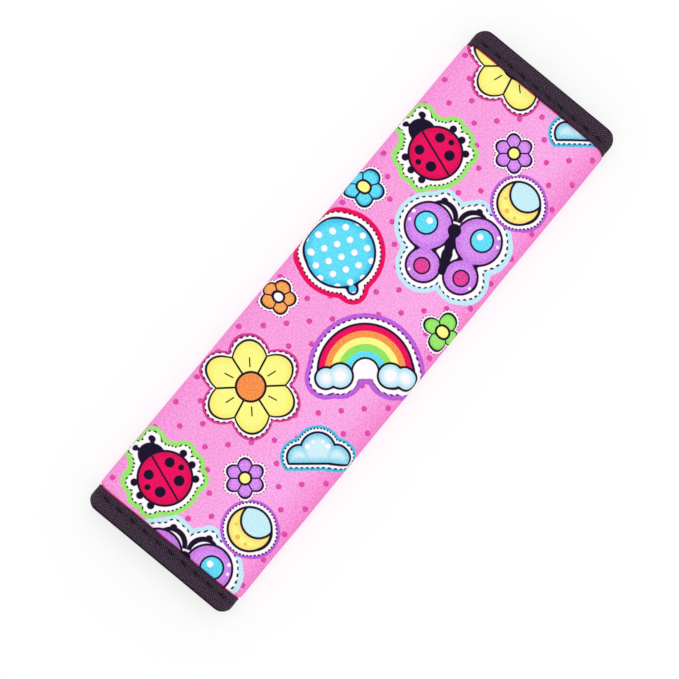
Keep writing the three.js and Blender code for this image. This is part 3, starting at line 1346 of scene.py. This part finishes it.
@dataclass(frozen=True)
class Weave:
    """Dyed polyester, woven: the twill of the tape, the plain lining, or the plies of a thread.

    The eye gets a dull dark cloth whose threads stand out of darker grooves, with some fluff on them.
    Sizes are in millimetres, and the turns of the threads in degrees.
    """

    name: str
    colour: str
    groove: str
    thread: float
    turns: tuple[float, ...]
    roughness: float
    relief: float = 0.16
    fluff: float = 0.5
    middle: float = 0.0
    painted_shade_lines: tuple[PaintedShadeLine, ...] = ()
    crossing: float = 0.25
    fluff_height: float = 2.4
    strength: float = 0.7
    ior: float = 1.5
    sheen: float = 0.02
    gloss: float = 0.12

    def threads(self, s: Shader, flat: Socket) -> Socket:
        """Draw the threads, each system of them across the one before.

        Args:
            s: The material.
            flat: Flat cloth coordinates in millimetres.

        Returns:
            How high the threads stand.
        """
        weave = None
        for turn in self.turns:
            inputs = {"Vector": flat, "Angle": math.radians(turn)}
            turned = s.add("VectorRotate", inputs, rotation_type="Z_AXIS")
            inputs = {"Vector": turned, "Scale": WAVE_BAND / self.thread, "Distortion": 0.7}
            wave = s.add("TexWave", inputs, "Fac", bands_direction="X")
            if weave is None:
                weave = wave
            else:
                crossed = s.add("Math", {0: weave, 1: wave}, operation="MULTIPLY")
                weave = s.add("Math", {0: weave, 1: crossed, 2: self.crossing}, operation="SMOOTH_MIN")
        return weave

    def with_painted_shade(self, s: Shader, colour: Socket, flat: Socket) -> Socket:
        """Paint shade on the cloth along its lines.

        Args:
            s: The material.
            colour: The cloth's colour.
            flat: Flat cloth coordinates in millimetres.

        Returns:
            The colour with the lines in it.
        """
        leg = s.off_line(s.add("SeparateXYZ", {0: flat}, "Y"), self.middle)
        for line in self.painted_shade_lines:
            inputs = {"From Min": line.core, "From Max": line.reach, "To Min": line.share}
            shade = s.add("MapRange", {"Value": s.off_line(leg, line.at), **inputs})
            inputs = {"Factor": 1.0, UNDER: colour, OVER: shade}
            colour = s.add("Mix", inputs, MIXED, data_type="RGBA", blend_type="MULTIPLY")
        return colour

    def material(self) -> Material:
        """Make the material.

        Returns:
            The finished material.
        """
        s = Shader(self.name)
        flat = s.add("UVMap", {}, uv_map=CLOTH_MM)
        weave = self.threads(s, flat)
        inputs = {"Vector": flat, "Scale": 1.5, "Detail": 2.0, "Roughness": 0.7}
        fluff = s.add("TexNoise", inputs, "Fac", noise_dimensions="2D")
        # The colour lies on the threads and the fluff, and the groove's colour where both are low.
        inputs = {0: fluff, 1: self.fluff * self.fluff_height, 2: weave}
        both = s.add("Math", inputs, operation="MULTIPLY_ADD")
        low, high = 0.9 * self.fluff, 0.7 + 1.4 * self.fluff
        share = s.add("MapRange", {"Value": both, "From Min": low, "From Max": high})
        inputs = {"Factor": share, UNDER: linear(self.groove), OVER: linear(self.colour)}
        colour = s.add("Mix", inputs, MIXED, data_type="RGBA")
        # Painted shade along the tape's fold, seam and edges.
        if self.painted_shade_lines:
            colour = self.with_painted_shade(s, colour, flat)
        bump = (self.strength, self.relief)
        return s.finish(colour, weave, bump, self.roughness, self.ior, self.sheen, self.gloss)


@dataclass(frozen=True)
class CutFoam:
    """Open-cell polyurethane foam, cut from a sheet. Sizes are in millimetres.

    The eye gets a creamy, porous edge. The cells are drawn about twice as large as real ones.
    """

    colour: str = "#ece6d3"
    pore: str = "#c9bf9f"
    cell: float = 0.7
    bump: tuple[float, float] = (0.6, 0.3)
    roughness: float = 0.95
    ior: float = 1.4

    def material(self) -> Material:
        """Make the material.

        Returns:
            The finished material.
        """
        s = Shader("cut polyurethane foam")
        place = s.add("TexCoord", {}, "Object")
        inputs = {"Vector": place, "Scale": 1 / (self.cell * MM)}
        pores = s.add("TexVoronoi", inputs, "Distance")
        inputs = {"Factor": pores, UNDER: linear(self.pore), OVER: linear(self.colour)}
        colour = s.add("Mix", inputs, MIXED, data_type="RGBA")
        return s.finish(colour, pores, self.bump, self.roughness, self.ior)


@dataclass(frozen=True)
class NylonPile:
    """Woven nylon of the closure: the hook strip's is smooth and stiff, the loop strip's is brushed.

    The eye gets near-black nylon, glossy on the moulded hooks and dull on the brushed loops. Sizes are
    in millimetres.
    """

    name: str
    colour: str
    shade: str
    grain: float
    roughness: float
    sheen: float
    bump: tuple[float, float] = (0.5, 0.2)
    ior: float = 1.53

    def material(self) -> Material:
        """Make the material.

        Returns:
            The finished material.
        """
        s = Shader(self.name)
        flat = s.add("UVMap", {}, uv_map=CLOTH_MM)
        inputs = {"Vector": flat, "Scale": 1 / self.grain, "Detail": 4.0, "Roughness": 0.65}
        fuzz = s.add("TexNoise", inputs, "Fac", noise_dimensions="2D")
        inputs = {"Factor": fuzz, UNDER: linear(self.shade), OVER: linear(self.colour)}
        colour = s.add("Mix", inputs, MIXED, data_type="RGBA")
        return s.finish(colour, fuzz, self.bump, self.roughness, self.ior, self.sheen)


# Real threads lie 0.3 to 0.5 mm apart; they are drawn about twice as coarse, so that they show.
TWILL_TAPE = Weave(
    "woven twill tape",
    colour="#59455a",
    groove="#0e0810",
    thread=0.9,
    turns=(38, -52),
    roughness=0.8,
    relief=0.2,
    fluff=0.9,
    middle=12.0,
    # Painted shade: darker where it turns over the pad's end, where its seam draws it in, and at its
    # edges.
    painted_shade_lines=(
        PaintedShadeLine(0.0, 2.45, 3.05, 0.12),
        PaintedShadeLine(8.8, 0.2, 1.8, 0.76),
        PaintedShadeLine(12.0, 0.3, 1.1, 0.65),
    ),
)
LINING = Weave("plain-woven lining", "#443e47", "#211d24", thread=0.8, turns=(0, 90), roughness=0.85)
SEWING_THREAD = Weave(
    "spun polyester thread",
    colour="#1d1521",
    groove="#070408",
    thread=0.75,
    turns=(35,),
    roughness=0.6,
    relief=0.1,
    fluff=0.1,
)
NYLON_HOOKS = NylonPile(
    "moulded nylon hooks", "#34303a", "#1d1a21", grain=0.8, roughness=0.42, sheen=0.0
)
NYLON_LOOPS = NylonPile(
    "brushed nylon loops", "#3a353f", "#1b181f", grain=0.35, roughness=0.95, sheen=0.3
)


# The pad's pieces


@dataclass(frozen=True)
class Dressing:
    """What a piece needs when it is finished: its slot, its material and the solid it stands for."""

    slot: str
    material: Material
    node: str | None = None

    def put_on(self, piece: Object) -> Object:
        """Give a piece its material, and hide the solid that it stands for.

        Args:
            piece: The piece.

        Returns:
            The same piece.
        """
        piece.data.materials.append(self.material)
        if self.node:
            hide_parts(self.node)
        triangles = sum(len(p.vertices) - 2 for p in piece.data.polygons)
        log.info("%s: %d triangles", piece.name, triangles)
        return piece


@dataclass(frozen=True)
class ClothPlies:
    """The printed face cloth, the foam and the lining, with sizes in millimetres."""

    knit: Material
    foam: Material
    lining: Material
    step: float = 1.05
    rows: tuple[float, float] = (0.85, 2.0)
    foam_step: float = 2.2
    foam_rows: tuple[float, float] = (1.8, 3.0)
    lining_step: float = 1.5
    lining_rows: tuple[float, float] = (1.6, 3.0)
    level_end: float = 2.0
    hem_start: float = 1.3
    hem_round: float = 0.5
    hem_steps: int = 3
    hem_points: tuple[float, float] = (2.2, 3.6)
    drawn_back: float = 0.25

    def place(self, w: Array, d: Array, y: Array) -> Array:
        """Fold points of a ply, with all of the relief on the print and none on the lining."""
        share = np.clip((d - PAD.lining_top) / PAD.full_filling, 0.0, 1.0)
        return PAD.wrap(w, d, y, RELIEF.height(w, y) * share)

    def hem_profile(self) -> Profile:
        """Profile of the face cloth's right-hand edge: over the rounded edge and back in under it.

        Returns:
            The pairs of points, and their flat coordinates.
        """
        half, cloth, full, bend = PAD.flat_half, PAD.cloth, PAD.thickness, self.hem_round
        under, turned_in, last = full - cloth, half - PAD.hem, half - self.hem_start
        pairs: list[Pair] = [((last, under), (last, full))]
        way = [last]
        for top, centre, inner_d in ((90, full - bend, under), (0, bend, cloth)):
            for share in np.arange(self.hem_steps + 1) / self.hem_steps:
                angle = math.radians(top - 90 * share)
                back = self.drawn_back * (1 - share if top else share)
                outer = (half - bend + bend * math.cos(angle), centre + bend * math.sin(angle))
                pairs.append(((half - cloth - back, inner_d), outer))
                way.append(half + (share - 1 if top else 1 + share) * bend)
        # The cloth that is turned in. The turn takes up some of it, and its cut edge is rounded.
        taken_up, edge, near_cut = 0.8, 0.2, 0.25
        for w in (*(half - off for off in self.hem_points), turned_in + near_cut):
            pairs.append(((w, cloth), (w, 0.0)))
            way.append(2 * half - w + taken_up)
        pairs.append(((turned_in, cloth - edge), (turned_in, edge)))
        way.append(half + PAD.hem + taken_up)
        return pairs, way

    def face_profile(self) -> Profile:
        """Profile of the face cloth with its turned-in hems, fine where the strips' seams draw it in.

        Returns:
            The pairs of points, and their flat coordinates.
        """
        seams = PAD.strip_middle + np.array([-1, 1]) * PAD.strip_seam[0]
        by_seam = (seams[:, None] + np.linspace(-1, 1, 7)).ravel()
        across = PAD.stations(PAD.flat_half - self.level_end, self.step)
        across = np.union1d(across, np.concatenate([-by_seam, by_seam]))
        level: list[Pair] = [((w, PAD.thickness - PAD.cloth), (w, PAD.thickness)) for w in across]
        right, way = self.hem_profile()
        left: list[Pair] = [((-a[0], a[1]), (-b[0], b[1])) for a, b in reversed(right)]
        return left + level + right, [-x for x in reversed(way)] + list(across) + way

    def level_profile(self, bottom: float, top: float, half: float, step: float) -> Profile:
        """Profile of a plain ply between two depths."""
        across = PAD.stations(half, step)
        return [((w, bottom), (w, top)) for w in across], list(across)

    def build_face(self) -> Object:
        """Make the printed face cloth.

        Returns:
            The face cloth.
        """
        by_seam = PAD.strip_seam[1] + np.linspace(-1, 1, 5)
        rows = np.union1d(PAD.rows(*self.rows), [-by_seam, by_seam])[::-1]
        face = ribbon("printed_face_cloth", self.face_profile(), rows, self.place, across_first=True)
        Dressing("printed_cloth", self.knit, "face_cloth").put_on(face)
        return face

    def build_foam(self) -> Object:
        """Make the foam.

        Returns:
            The foam.
        """
        top = PAD.lining_top + PAD.foam
        profile = self.level_profile(PAD.lining_top, top, PAD.foam_half, self.foam_step)
        rows = PAD.rows(*self.foam_rows)
        foam = ribbon("foam_sheet", profile, rows, self.place, across_first=True)
        Dressing("foam", self.foam, "foam_padding").put_on(foam)
        return foam

    def build_lining(self) -> Object:
        """Make the lining, which ends where the face cloth is turned in.

        Returns:
            The lining.
        """
        half = PAD.flat_half - PAD.hem - PAD.ply_gap
        profile = self.level_profile(0.0, PAD.cloth, half, self.lining_step)
        rows = PAD.rows(*self.lining_rows)
        lining = ribbon("belt_side_lining", profile, rows, self.place, across_first=True)
        Dressing("lining_cloth", self.lining, "lining").put_on(lining)
        return lining

    def build(self) -> list[Object]:
        """Make the three plies."""
        return [self.build_face(), self.build_foam(), self.build_lining()]


class End(Enum):
    """The two ends of the pad."""

    UPPER = 1
    LOWER = -1


@dataclass(frozen=True)
class EndBinding:
    """The tape folded over one end, and the running stitch that holds it, in millimetres.

    In the side folds, over the given widths, the seam draws the tape in less and its edge runs straight.
    """

    end: End
    tape: Material
    thread: Material
    step: float = 0.8
    bend_steps: int = 7
    edge_round: float = 0.14
    seam: float = 6.7
    seam_groove: float = 0.3
    seam_width: float = 1.0
    dip: float = 0.2
    dip_width: float = 0.5
    eased: float = 0.75
    eased_width: float = 5.0
    straight_width: float = 9.0
    swell: float = 0.1
    swell_off: float = 3.0
    swell_width: float = 1.9
    swell_beat: float = 0.35
    lip: float = 0.12
    lip_off: float = 0.3
    lip_width: float = 0.9
    lip_ripple: tuple[float, float, float] = (3.1, 1.2, 9.0)
    edge_from: float = 1.5
    edge_over: float = 1.4
    edge_wave: float = 0.16
    edge_ripple: tuple[float, float, float] = (4.3, 0.9, 11.0)
    edge_fine: float = 0.1
    edge_fine_length: float = 1.9
    bow: float = 0.0
    bow_reach: float = 38.0
    thread_radius: float = 0.36
    thread_arch: float = 0.1
    thread_sunk: float = 0.28
    thread_thin: float = 0.25
    crossing: float = 5.2
    crossing_width: float = 0.3
    slant: float = 0.26

    def name(self, what: str) -> str:
        """Name of a piece at this end."""
        return f"{what}_{self.end.name.lower()}"

    @staticmethod
    def in_fold(w: Array, width: float) -> Array:
        """1 in the middle of the side folds, dying out over a width."""
        return hill(np.abs(w) - PAD.fold_middle, width)

    def seam_relief(self, w: Array, from_end: Array) -> Array:
        """How the stitches draw the tape in.

        Args:
            w: Places across the flat cloth.
            from_end: Distances from the pad's end.

        Returns:
            Millimetres away from the cloth, negative where the tape is pulled down.
        """
        # The thread draws the tape in under each stitch and between two, and the tape swells beyond.
        beat = np.cos(4 * np.pi * w / PAD.tape_stitch)
        off_seam = from_end - self.seam
        groove = -self.seam_groove * hill(off_seam, self.seam_width)
        dips = -self.dip * hill(off_seam, self.dip_width) * np.maximum(0.0, beat) ** 3
        swell = self.swell * hill(off_seam + self.swell_off, self.swell_width)
        swell = swell * (1 - self.swell_beat * beat)
        around = 1 - self.eased * self.in_fold(w, self.eased_width)
        # The free edge ripples, up and down here and to and fro in place().
        off_edge = PAD.binding_width - self.lip_off - from_end
        lip = self.lip * hill(off_edge, self.lip_width) * ripple(w, *self.lip_ripple)
        straight = self.in_fold(w, self.straight_width)
        return (groove + dips + swell) * around + lip * (1 - straight)

    def place(self, from_end: Array, d: Array, w: Array) -> Array:
        """Fold points of the tape.

        Args:
            from_end: Distances from the pad's end.
            d: Depths in the full sheet.
            w: Places across the flat cloth, counted along the tape.

        Returns:
            The folded points in metres.
        """
        end = self.end.value
        w, d, from_end = np.broadcast_arrays(-end * w, d, from_end)
        outside = np.where(d > PAD.thickness / 2, 1.0, -1.0)
        rise = self.seam_relief(w, from_end) * outside
        edge = smooth((from_end - PAD.binding_width + self.edge_from) / self.edge_over)
        fine = self.edge_fine * np.sin(w / self.edge_fine_length)
        wave = self.edge_wave * ripple(w, *self.edge_ripple) + fine
        narrower = self.bow * np.minimum(1.0, (w / self.bow_reach) ** 2)
        straight = self.in_fold(w, self.straight_width)
        along = from_end + edge * (wave * (1 - straight) - narrower)
        return PAD.wrap(w, d, end * (PAD.length / 2 - along), rise)

    def profile(self) -> Profile:
        """Profile of the folded tape, from the lining leg's edge round the end to the face leg's.

        Returns:
            The pairs of points as distance from the end and depth, and their flat coordinates.
        """
        tape, bend, width, edge = PAD.tape, PAD.tape_bend, PAD.binding_width, self.edge_round
        on_lining, on_face = -PAD.tape_gap, PAD.thickness + PAD.tape_gap
        turned = tape + bend
        # Distances from the end at which a leg has points: close together at its edge and its seam.
        by_edge, by_turn = (0.18, 0.7, 1.3), [3.5, 2.7, 2.1]
        by_seam = (1.5, 0.9, 0.55, 0.25, 0.0, -0.25, -0.55, -0.9, -1.4, -2.1)
        leg = [width - off for off in by_edge] + [self.seam + off for off in by_seam] + by_turn
        pairs: list[Pair] = [((width, on_lining - edge), (width, on_lining - tape + edge))]
        pairs += [((q, on_lining), (q, on_lining - tape)) for q in leg]
        for height, start in ((on_lining + bend, -math.pi / 2), (on_face - bend, math.pi)):
            for share in np.arange(self.bend_steps + 1) / self.bend_steps:
                u, v = math.cos(start - math.pi / 2 * share), math.sin(start - math.pi / 2 * share)
                inner = (turned + bend * u, height + bend * v)
                pairs.append((inner, (turned + turned * u, height + turned * v)))
        pairs += [((q, on_face), (q, on_face + tape)) for q in reversed(leg)]
        pairs.append(((width, on_face + edge), (width, on_face + tape - edge)))
        outer = np.array([pair[1] for pair in pairs])
        way = np.concatenate([[0], np.cumsum(np.linalg.norm(np.diff(outer, axis=0), axis=1))])
        return pairs, list(way)

    def build_tape(self) -> Object:
        """Make the folded tape.

        Returns:
            The tape.
        """
        profile, half = self.profile(), PAD.flat_half + PAD.tape_overhang
        across = PAD.stations(half, self.step)
        piece = ribbon(self.name("binding_tape"), profile, across, self.place, across_first=False)
        Dressing("twill_tape", self.tape, self.name("end_binding")).put_on(piece)
        return piece

    def build_seam(self) -> Object:
        """Make the thread, which runs through all the layers: a stitch on the face, one on the lining.

        Returns:
            The thread.
        """
        end, stitch = self.end.value, PAD.tape_stitch
        points_a_stitch, from_edge, bedded = 28, 0.6, 0.14
        count = int(2 * (PAD.flat_half - from_edge) / stitch)
        t = np.linspace(0, count, count * points_a_stitch + 1)
        w = stitch * (t - count / 2)
        phase = t - np.floor(t)
        # The middle half of each turn lies on the face, and the thread crosses over steeply.
        over_face = smooth(0.5 + self.crossing * (0.25 - np.abs(phase - 0.5)))
        arch = self.thread_arch * np.cos(2 * np.pi * (phase - 0.5))
        above = PAD.binding_rise - self.seam_groove + bedded
        depth = blend(-above, PAD.thickness + above, over_face)
        lying = np.where(over_face > 0.5, 1.0, -1.0)
        # In the side folds the stitches sink into the tape, so that its outline stays smooth.
        sunk = self.thread_sunk * self.in_fold(w, self.eased_width)
        rise = (arch - sunk) * lying * np.abs(2 * over_face - 1)
        slant = self.slant * np.sin(2 * np.pi * (phase - 0.5))
        along = end * (PAD.length / 2 - self.seam - slant)
        path = PAD.wrap(end * w, depth, along, rise)
        pulled = self.thread_thin * hill(over_face - 0.5, self.crossing_width)
        radius = self.thread_radius * (1 - pulled) * MM
        piece = tube(self.name("running_stitch"), path, radius, sides=8)
        return Dressing("thread", self.thread, self.name("binding_thread")).put_on(piece)

    def build(self) -> list[Object]:
        """Make the tape and its seam."""
        return [self.build_tape(), self.build_seam()]


class Flap(Enum):
    """The two flaps of the back, by the side of the flat cloth that they lie on."""

    OUTER = 1
    UNDER = -1


@dataclass(frozen=True)
class ClosureStrip:
    """One half of the closure and the seam that holds it on its flap, in millimetres.

    The levels of a hook are its height above the base, how far it has bent over, and half its thickness.
    """

    flap: Flap
    cloth: Material
    thread: Material
    selvedge: float = 1.5
    edge_round: float = 0.12
    edge_width: float = 0.15
    base_step: float = 2.0
    nap_pitch: float = 0.62
    nap_share: tuple[float, float] = (0.35, 1.0)
    nap_inset: float = 0.6
    hook_pitch: float = 1.55
    hook_stray: float = 0.15
    hook_levels: tuple[tuple[float, float, float], ...] = (
        (-0.1, 0.0, 0.13),
        (0.5, 0.0, 0.11),
        (0.82, 0.16, 0.1),
        (0.78, 0.42, 0.09),
        (0.5, 0.5, 0.06),
    )
    stitch: float = 3.2
    thread_radius: float = 0.18
    thread_sunk: tuple[float, float] = (0.2, 0.04)
    dip: float = 0.12
    seed: int = 5

    @property
    def hooks(self) -> bool:
        """Whether this strip has the hooks."""
        return self.flap is Flap.OUTER

    @property
    def word(self) -> str:
        """The strip's kind, as its pieces' names have it."""
        return "hook" if self.hooks else "loop"

    @property
    def middle(self) -> float:
        """Where the strip's middle lies, across the flat cloth."""
        return self.flap.value * PAD.strip_middle

    @property
    def foot(self) -> float:
        """Depth of the strip's side on the cloth."""
        return -PAD.strip_gap if self.hooks else PAD.thickness + PAD.strip_gap

    @property
    def away(self) -> float:
        """1 or -1, the way that the pile stands."""
        return -1.0 if self.hooks else 1.0

    @property
    def reach(self) -> float:
        """Half the strip's length."""
        return PAD.length / 2 - PAD.strip_inset

    def place(self, x: Array, height: Array, y: Array) -> Array:
        """Place points given from the strip's middle and its foot."""
        return PAD.wrap(self.middle + x, self.foot + self.away * height, y)

    def base_parts(self) -> Parts:
        """The woven base, with a nap on it if this is the loop strip.

        Returns:
            Points, faces and flat coordinates.
        """
        half, pile = PAD.strip_width / 2, PAD.strip_width / 2 - self.selvedge
        step = self.base_step if self.hooks else self.nap_pitch
        inner = np.linspace(-pile, pile, math.ceil(2 * pile / step) + 1)
        rim, hair = half - self.edge_width, 0.01
        across = np.concatenate([[-half, -rim], inner, [rim, half]])
        along = np.linspace(-self.reach, self.reach, math.ceil(2 * self.reach / step) + 1)
        x, y = np.meshgrid(across, along)
        top = np.full(x.shape, PAD.strip_base)
        if not self.hooks:
            rng = np.random.default_rng(self.seed)
            on_pile = (np.abs(x) < pile - hair) & (np.abs(y) < self.reach - self.nap_inset)
            nap = PAD.strip_base + PAD.strip_pile * rng.uniform(*self.nap_share, x.shape)
            top = np.where(on_pile, nap, top)
        edge = np.abs(x) > half - hair
        top = np.where(edge, PAD.strip_base - self.edge_round, top)
        bottom = np.where(edge, self.edge_round, 0.0)
        upper = np.arange(x.size).reshape(x.shape)
        points = np.stack([self.place(x, top, y), self.place(x, bottom, y)]).reshape(-1, 3)
        flat = np.tile(np.stack([x, y], -1).reshape(-1, 2), (2, 1))
        # Both strips are wound alike: the outer flap's faces up, and the under flap's down.
        corners = [upper[:-1, :-1], upper[:-1, 1:], upper[1:, 1:], upper[1:, :-1]]
        upside = np.stack(corners, -1).reshape(-1, 4)
        round_top = [upper[0], upper[1:, -1], upper[-1, -2::-1], upper[-2:0:-1, 0]]
        above = np.concatenate(round_top)
        below = above + x.size
        walls = np.stack([above, below, np.roll(below, -1), np.roll(above, -1)], -1)
        return points, [upside, upside[:, ::-1] + x.size, walls], flat

    def hook_parts(self) -> Parts:
        """All the hooks: thin stems that bend over at the top.

        Returns:
            Points, faces and flat coordinates.
        """
        pile = PAD.strip_width / 2 - self.selvedge - 0.5
        rng = np.random.default_rng(self.seed)
        x, y = np.meshgrid(
            np.arange(-pile, pile + 0.01, self.hook_pitch),
            np.arange(-self.reach + 1, self.reach - 1, self.hook_pitch),
        )
        x = x.ravel() + rng.uniform(-self.hook_stray, self.hook_stray, x.size)
        y = y.ravel() + rng.uniform(-self.hook_stray, self.hook_stray, y.size)
        way = rng.choice([-1.0, 1.0], x.size)
        rings = []
        for height, bent, thick in self.hook_levels:
            for dx, dy in ((-1, -1), (1, -1), (1, 1), (-1, 1)):
                along = y + way * bent + thick * dy
                rings.append(self.place(x + thick * dx, PAD.strip_base + height, along))
        points = np.stack(rings, axis=1)
        # A hook's faces: four walls between one level and the next, its tip and its foot.
        last = 4 * (len(self.hook_levels) - 1)
        faces = []
        for level in range(0, last, 4):
            for side in range(4):
                a, b = level + side, level + (side + 1) % 4
                faces.append([a, b, b + 4, a + 4])
        faces += [[last, last + 1, last + 2, last + 3], [3, 2, 1, 0]]
        first = (np.arange(len(x)) * len(rings))[:, None]
        hooks = np.concatenate([first + np.array(face) for face in faces])
        flat = np.repeat(np.stack([x, y], -1), len(rings), axis=0)
        return points.reshape(-1, 3), [hooks], flat

    def build_strip(self) -> Object:
        """Make the strip.

        Returns:
            The strip.
        """
        points, faces, flat = self.base_parts()
        if self.hooks:
            more, hook_faces, hook_flat = self.hook_parts()
            faces = faces + [group + len(points) for group in hook_faces]
            points = np.concatenate([points, more])
            flat = np.concatenate([flat, hook_flat])
        piece = make_piece(f"{self.word}_tape", points, faces, flat, crease=35.0)
        return Dressing(f"{self.word}_tape", self.cloth, f"{self.word}_strip").put_on(piece)

    def build_seam(self) -> Object:
        """Make the lock-stitched seam round the strip, where it shows on the flap's other side.

        Returns:
            The thread.
        """
        half, reach = PAD.strip_seam
        points_a_stitch = 8
        corners = [(-half, -reach), (half, -reach), (half, reach), (-half, reach)]
        path = []
        for (x0, y0), (x1, y1) in zip(corners, corners[1:] + corners[:1]):
            stitches = max(1, round(math.dist((x0, y0), (x1, y1)) / self.stitch))
            share = np.arange(stitches * points_a_stitch) / (stitches * points_a_stitch)
            beat = np.cos(2 * np.pi * share * stitches)
            path.append(np.stack([blend(x0, x1, share), blend(y0, y1, share), beat], -1))
        x, y, beat = np.concatenate(path).T
        # The thread shows on the side away from the strip, and sinks in at each needle hole. In the
        # printed cloth it lies deeper, in the groove of the relief.
        in_print, in_lining = self.thread_sunk
        surface, level = (PAD.thickness, in_print) if self.hooks else (0.0, in_lining)
        sunk = level + self.dip * np.maximum(0.0, beat)
        points = PAD.wrap(self.middle + x, surface, y, self.away * sunk)
        radius = self.thread_radius * MM
        piece = tube(f"{self.word}_tape_seam", points, radius, sides=6, closed=True)
        return Dressing("thread", self.thread).put_on(piece)

    def build(self) -> list[Object]:
        """Make the strip and its seam."""
        return [self.build_strip(), self.build_seam()]


# The studio


@dataclass(frozen=True)
class Lamp:
    """A round soft lamp, aimed at the pad: its place and size in metres, and its power in watts."""

    name: str
    place: tuple[float, float, float]
    size: float
    power: float

    def build(self) -> None:
        """Hang the lamp."""
        lamp = bpy.data.lights.new(self.name, "AREA")
        lamp.shape = "DISK"
        lamp.size = self.size
        lamp.energy = self.power
        holder = bpy.data.objects.new(self.name, lamp)
        holder.location = self.place
        holder.rotation_euler = (-Vector(self.place)).to_track_quat("-Z", "Y").to_euler()
        bpy.context.scene.collection.objects.link(holder)


@dataclass(frozen=True)
class Studio:
    """White floor, soft light and the camera of a product picture, in metres.

    The lens and the sensor are in millimetres, and the camera's turn is its axis times its angle.
    """

    floor: str = WHITE
    floor_size: float = 6.0
    floor_glow: float = 0.7
    sky: float = 0.88
    lamps: tuple[Lamp, ...] = (
        Lamp("softbox", (-0.1, 0.35, 1.3), 0.9, 2.3),
        Lamp("fill", (0.45, -0.6, 1.2), 1.2, 0.9),
    )
    lens: float = 150.0
    sensor: float = 36.0
    camera_at: tuple[float, float, float] = (0.012022, -0.144155, 1.274111)
    camera_turn: tuple[float, float, float] = (0.103282, -0.027733, 0.691279)

    def build_floor(self) -> Object:
        """Make the floor, which is lit white for the camera and keeps a faint shadow.

        Returns:
            The floor.
        """
        half = self.floor_size / 2
        mesh = bpy.data.meshes.new("studio_floor")
        corners = [(-half, -half, 0), (half, -half, 0), (half, half, 0), (-half, half, 0)]
        mesh.from_pydata(corners, [], [(0, 1, 2, 3)])
        floor = bpy.data.objects.new("studio_floor", mesh)
        bpy.context.scene.collection.objects.link(floor)
        s = Shader("white studio paper")
        s.surface.inputs["Base Color"].default_value = linear(self.floor)
        s.surface.inputs["Roughness"].default_value = 1.0
        s.surface.inputs["Specular IOR Level"].default_value = 0.0
        seen = s.add("LightPath", {}, "Is Camera Ray")
        rays = seen.node.outputs
        for other in ("Is Glossy Ray", "Is Transmission Ray"):
            seen = s.add("Math", {0: seen, 1: rays[other]}, operation="MAXIMUM")
        glow = s.add("Emission", {"Color": linear(WHITE), "Strength": 1.0})
        share = s.add("Math", {0: seen, 1: self.floor_glow}, operation="MULTIPLY")
        both = s.add("MixShader", {0: share, 1: s.surface.outputs[0], 2: glow})
        s.tree.links.new(both, s.tree.nodes["Material Output"].inputs["Surface"])
        floor.data.materials.append(s.material)
        return floor

    def build_light(self) -> None:
        """Light the studio: an even white sky and large soft lamps overhead."""
        world = bpy.data.worlds.new("studio")
        bpy.context.scene.world = world
        world.use_nodes = True
        sky = world.node_tree.nodes["Background"]
        sky.inputs["Color"].default_value = linear(WHITE)
        sky.inputs["Strength"].default_value = self.sky
        for lamp in self.lamps:
            lamp.build()

    def build_camera(self) -> Object:
        """Make the camera, which looks almost straight down with the pad's upper end at the right.

        Returns:
            The camera.
        """
        data = bpy.data.cameras.new("camera")
        data.lens = self.lens
        data.sensor_width = self.sensor
        data.clip_start, data.clip_end = 0.01, 20.0
        camera = bpy.data.objects.new("camera", data)
        camera.location = self.camera_at
        turn = Vector(self.camera_turn)
        camera.rotation_mode = "QUATERNION"
        camera.rotation_quaternion = Quaternion(turn.normalized(), turn.length)
        bpy.context.scene.collection.objects.link(camera)
        bpy.context.scene.camera = camera
        return camera

    def build(self) -> None:
        """Set up the whole studio."""
        self.build_camera()
        self.build_floor()
        self.build_light()
        settings = bpy.context.scene.view_settings
        settings.view_transform = "Standard"


def main() -> None:
    """Build the studio and the pad, piece by piece."""
    logging.basicConfig(level=logging.INFO, format="%(name)s: %(message)s")
    Studio().build()
    tape, lining, thread = (weave.material() for weave in (TWILL_TAPE, LINING, SEWING_THREAD))
    pieces = ClothPlies(PrintedKnit().material(), CutFoam().material(), lining).build()
    pieces += EndBinding(End.UPPER, tape, thread).build()
    pieces += EndBinding(End.LOWER, tape, thread, bow=0.3).build()
    pieces += ClosureStrip(Flap.OUTER, NYLON_HOOKS.material(), thread).build()
    pieces += ClosureStrip(Flap.UNDER, NYLON_LOOPS.material(), thread).build()
    log.info("%d pieces", len(pieces))
    bpy.context.view_layer.update()


if __name__ == "__main__":
    main()
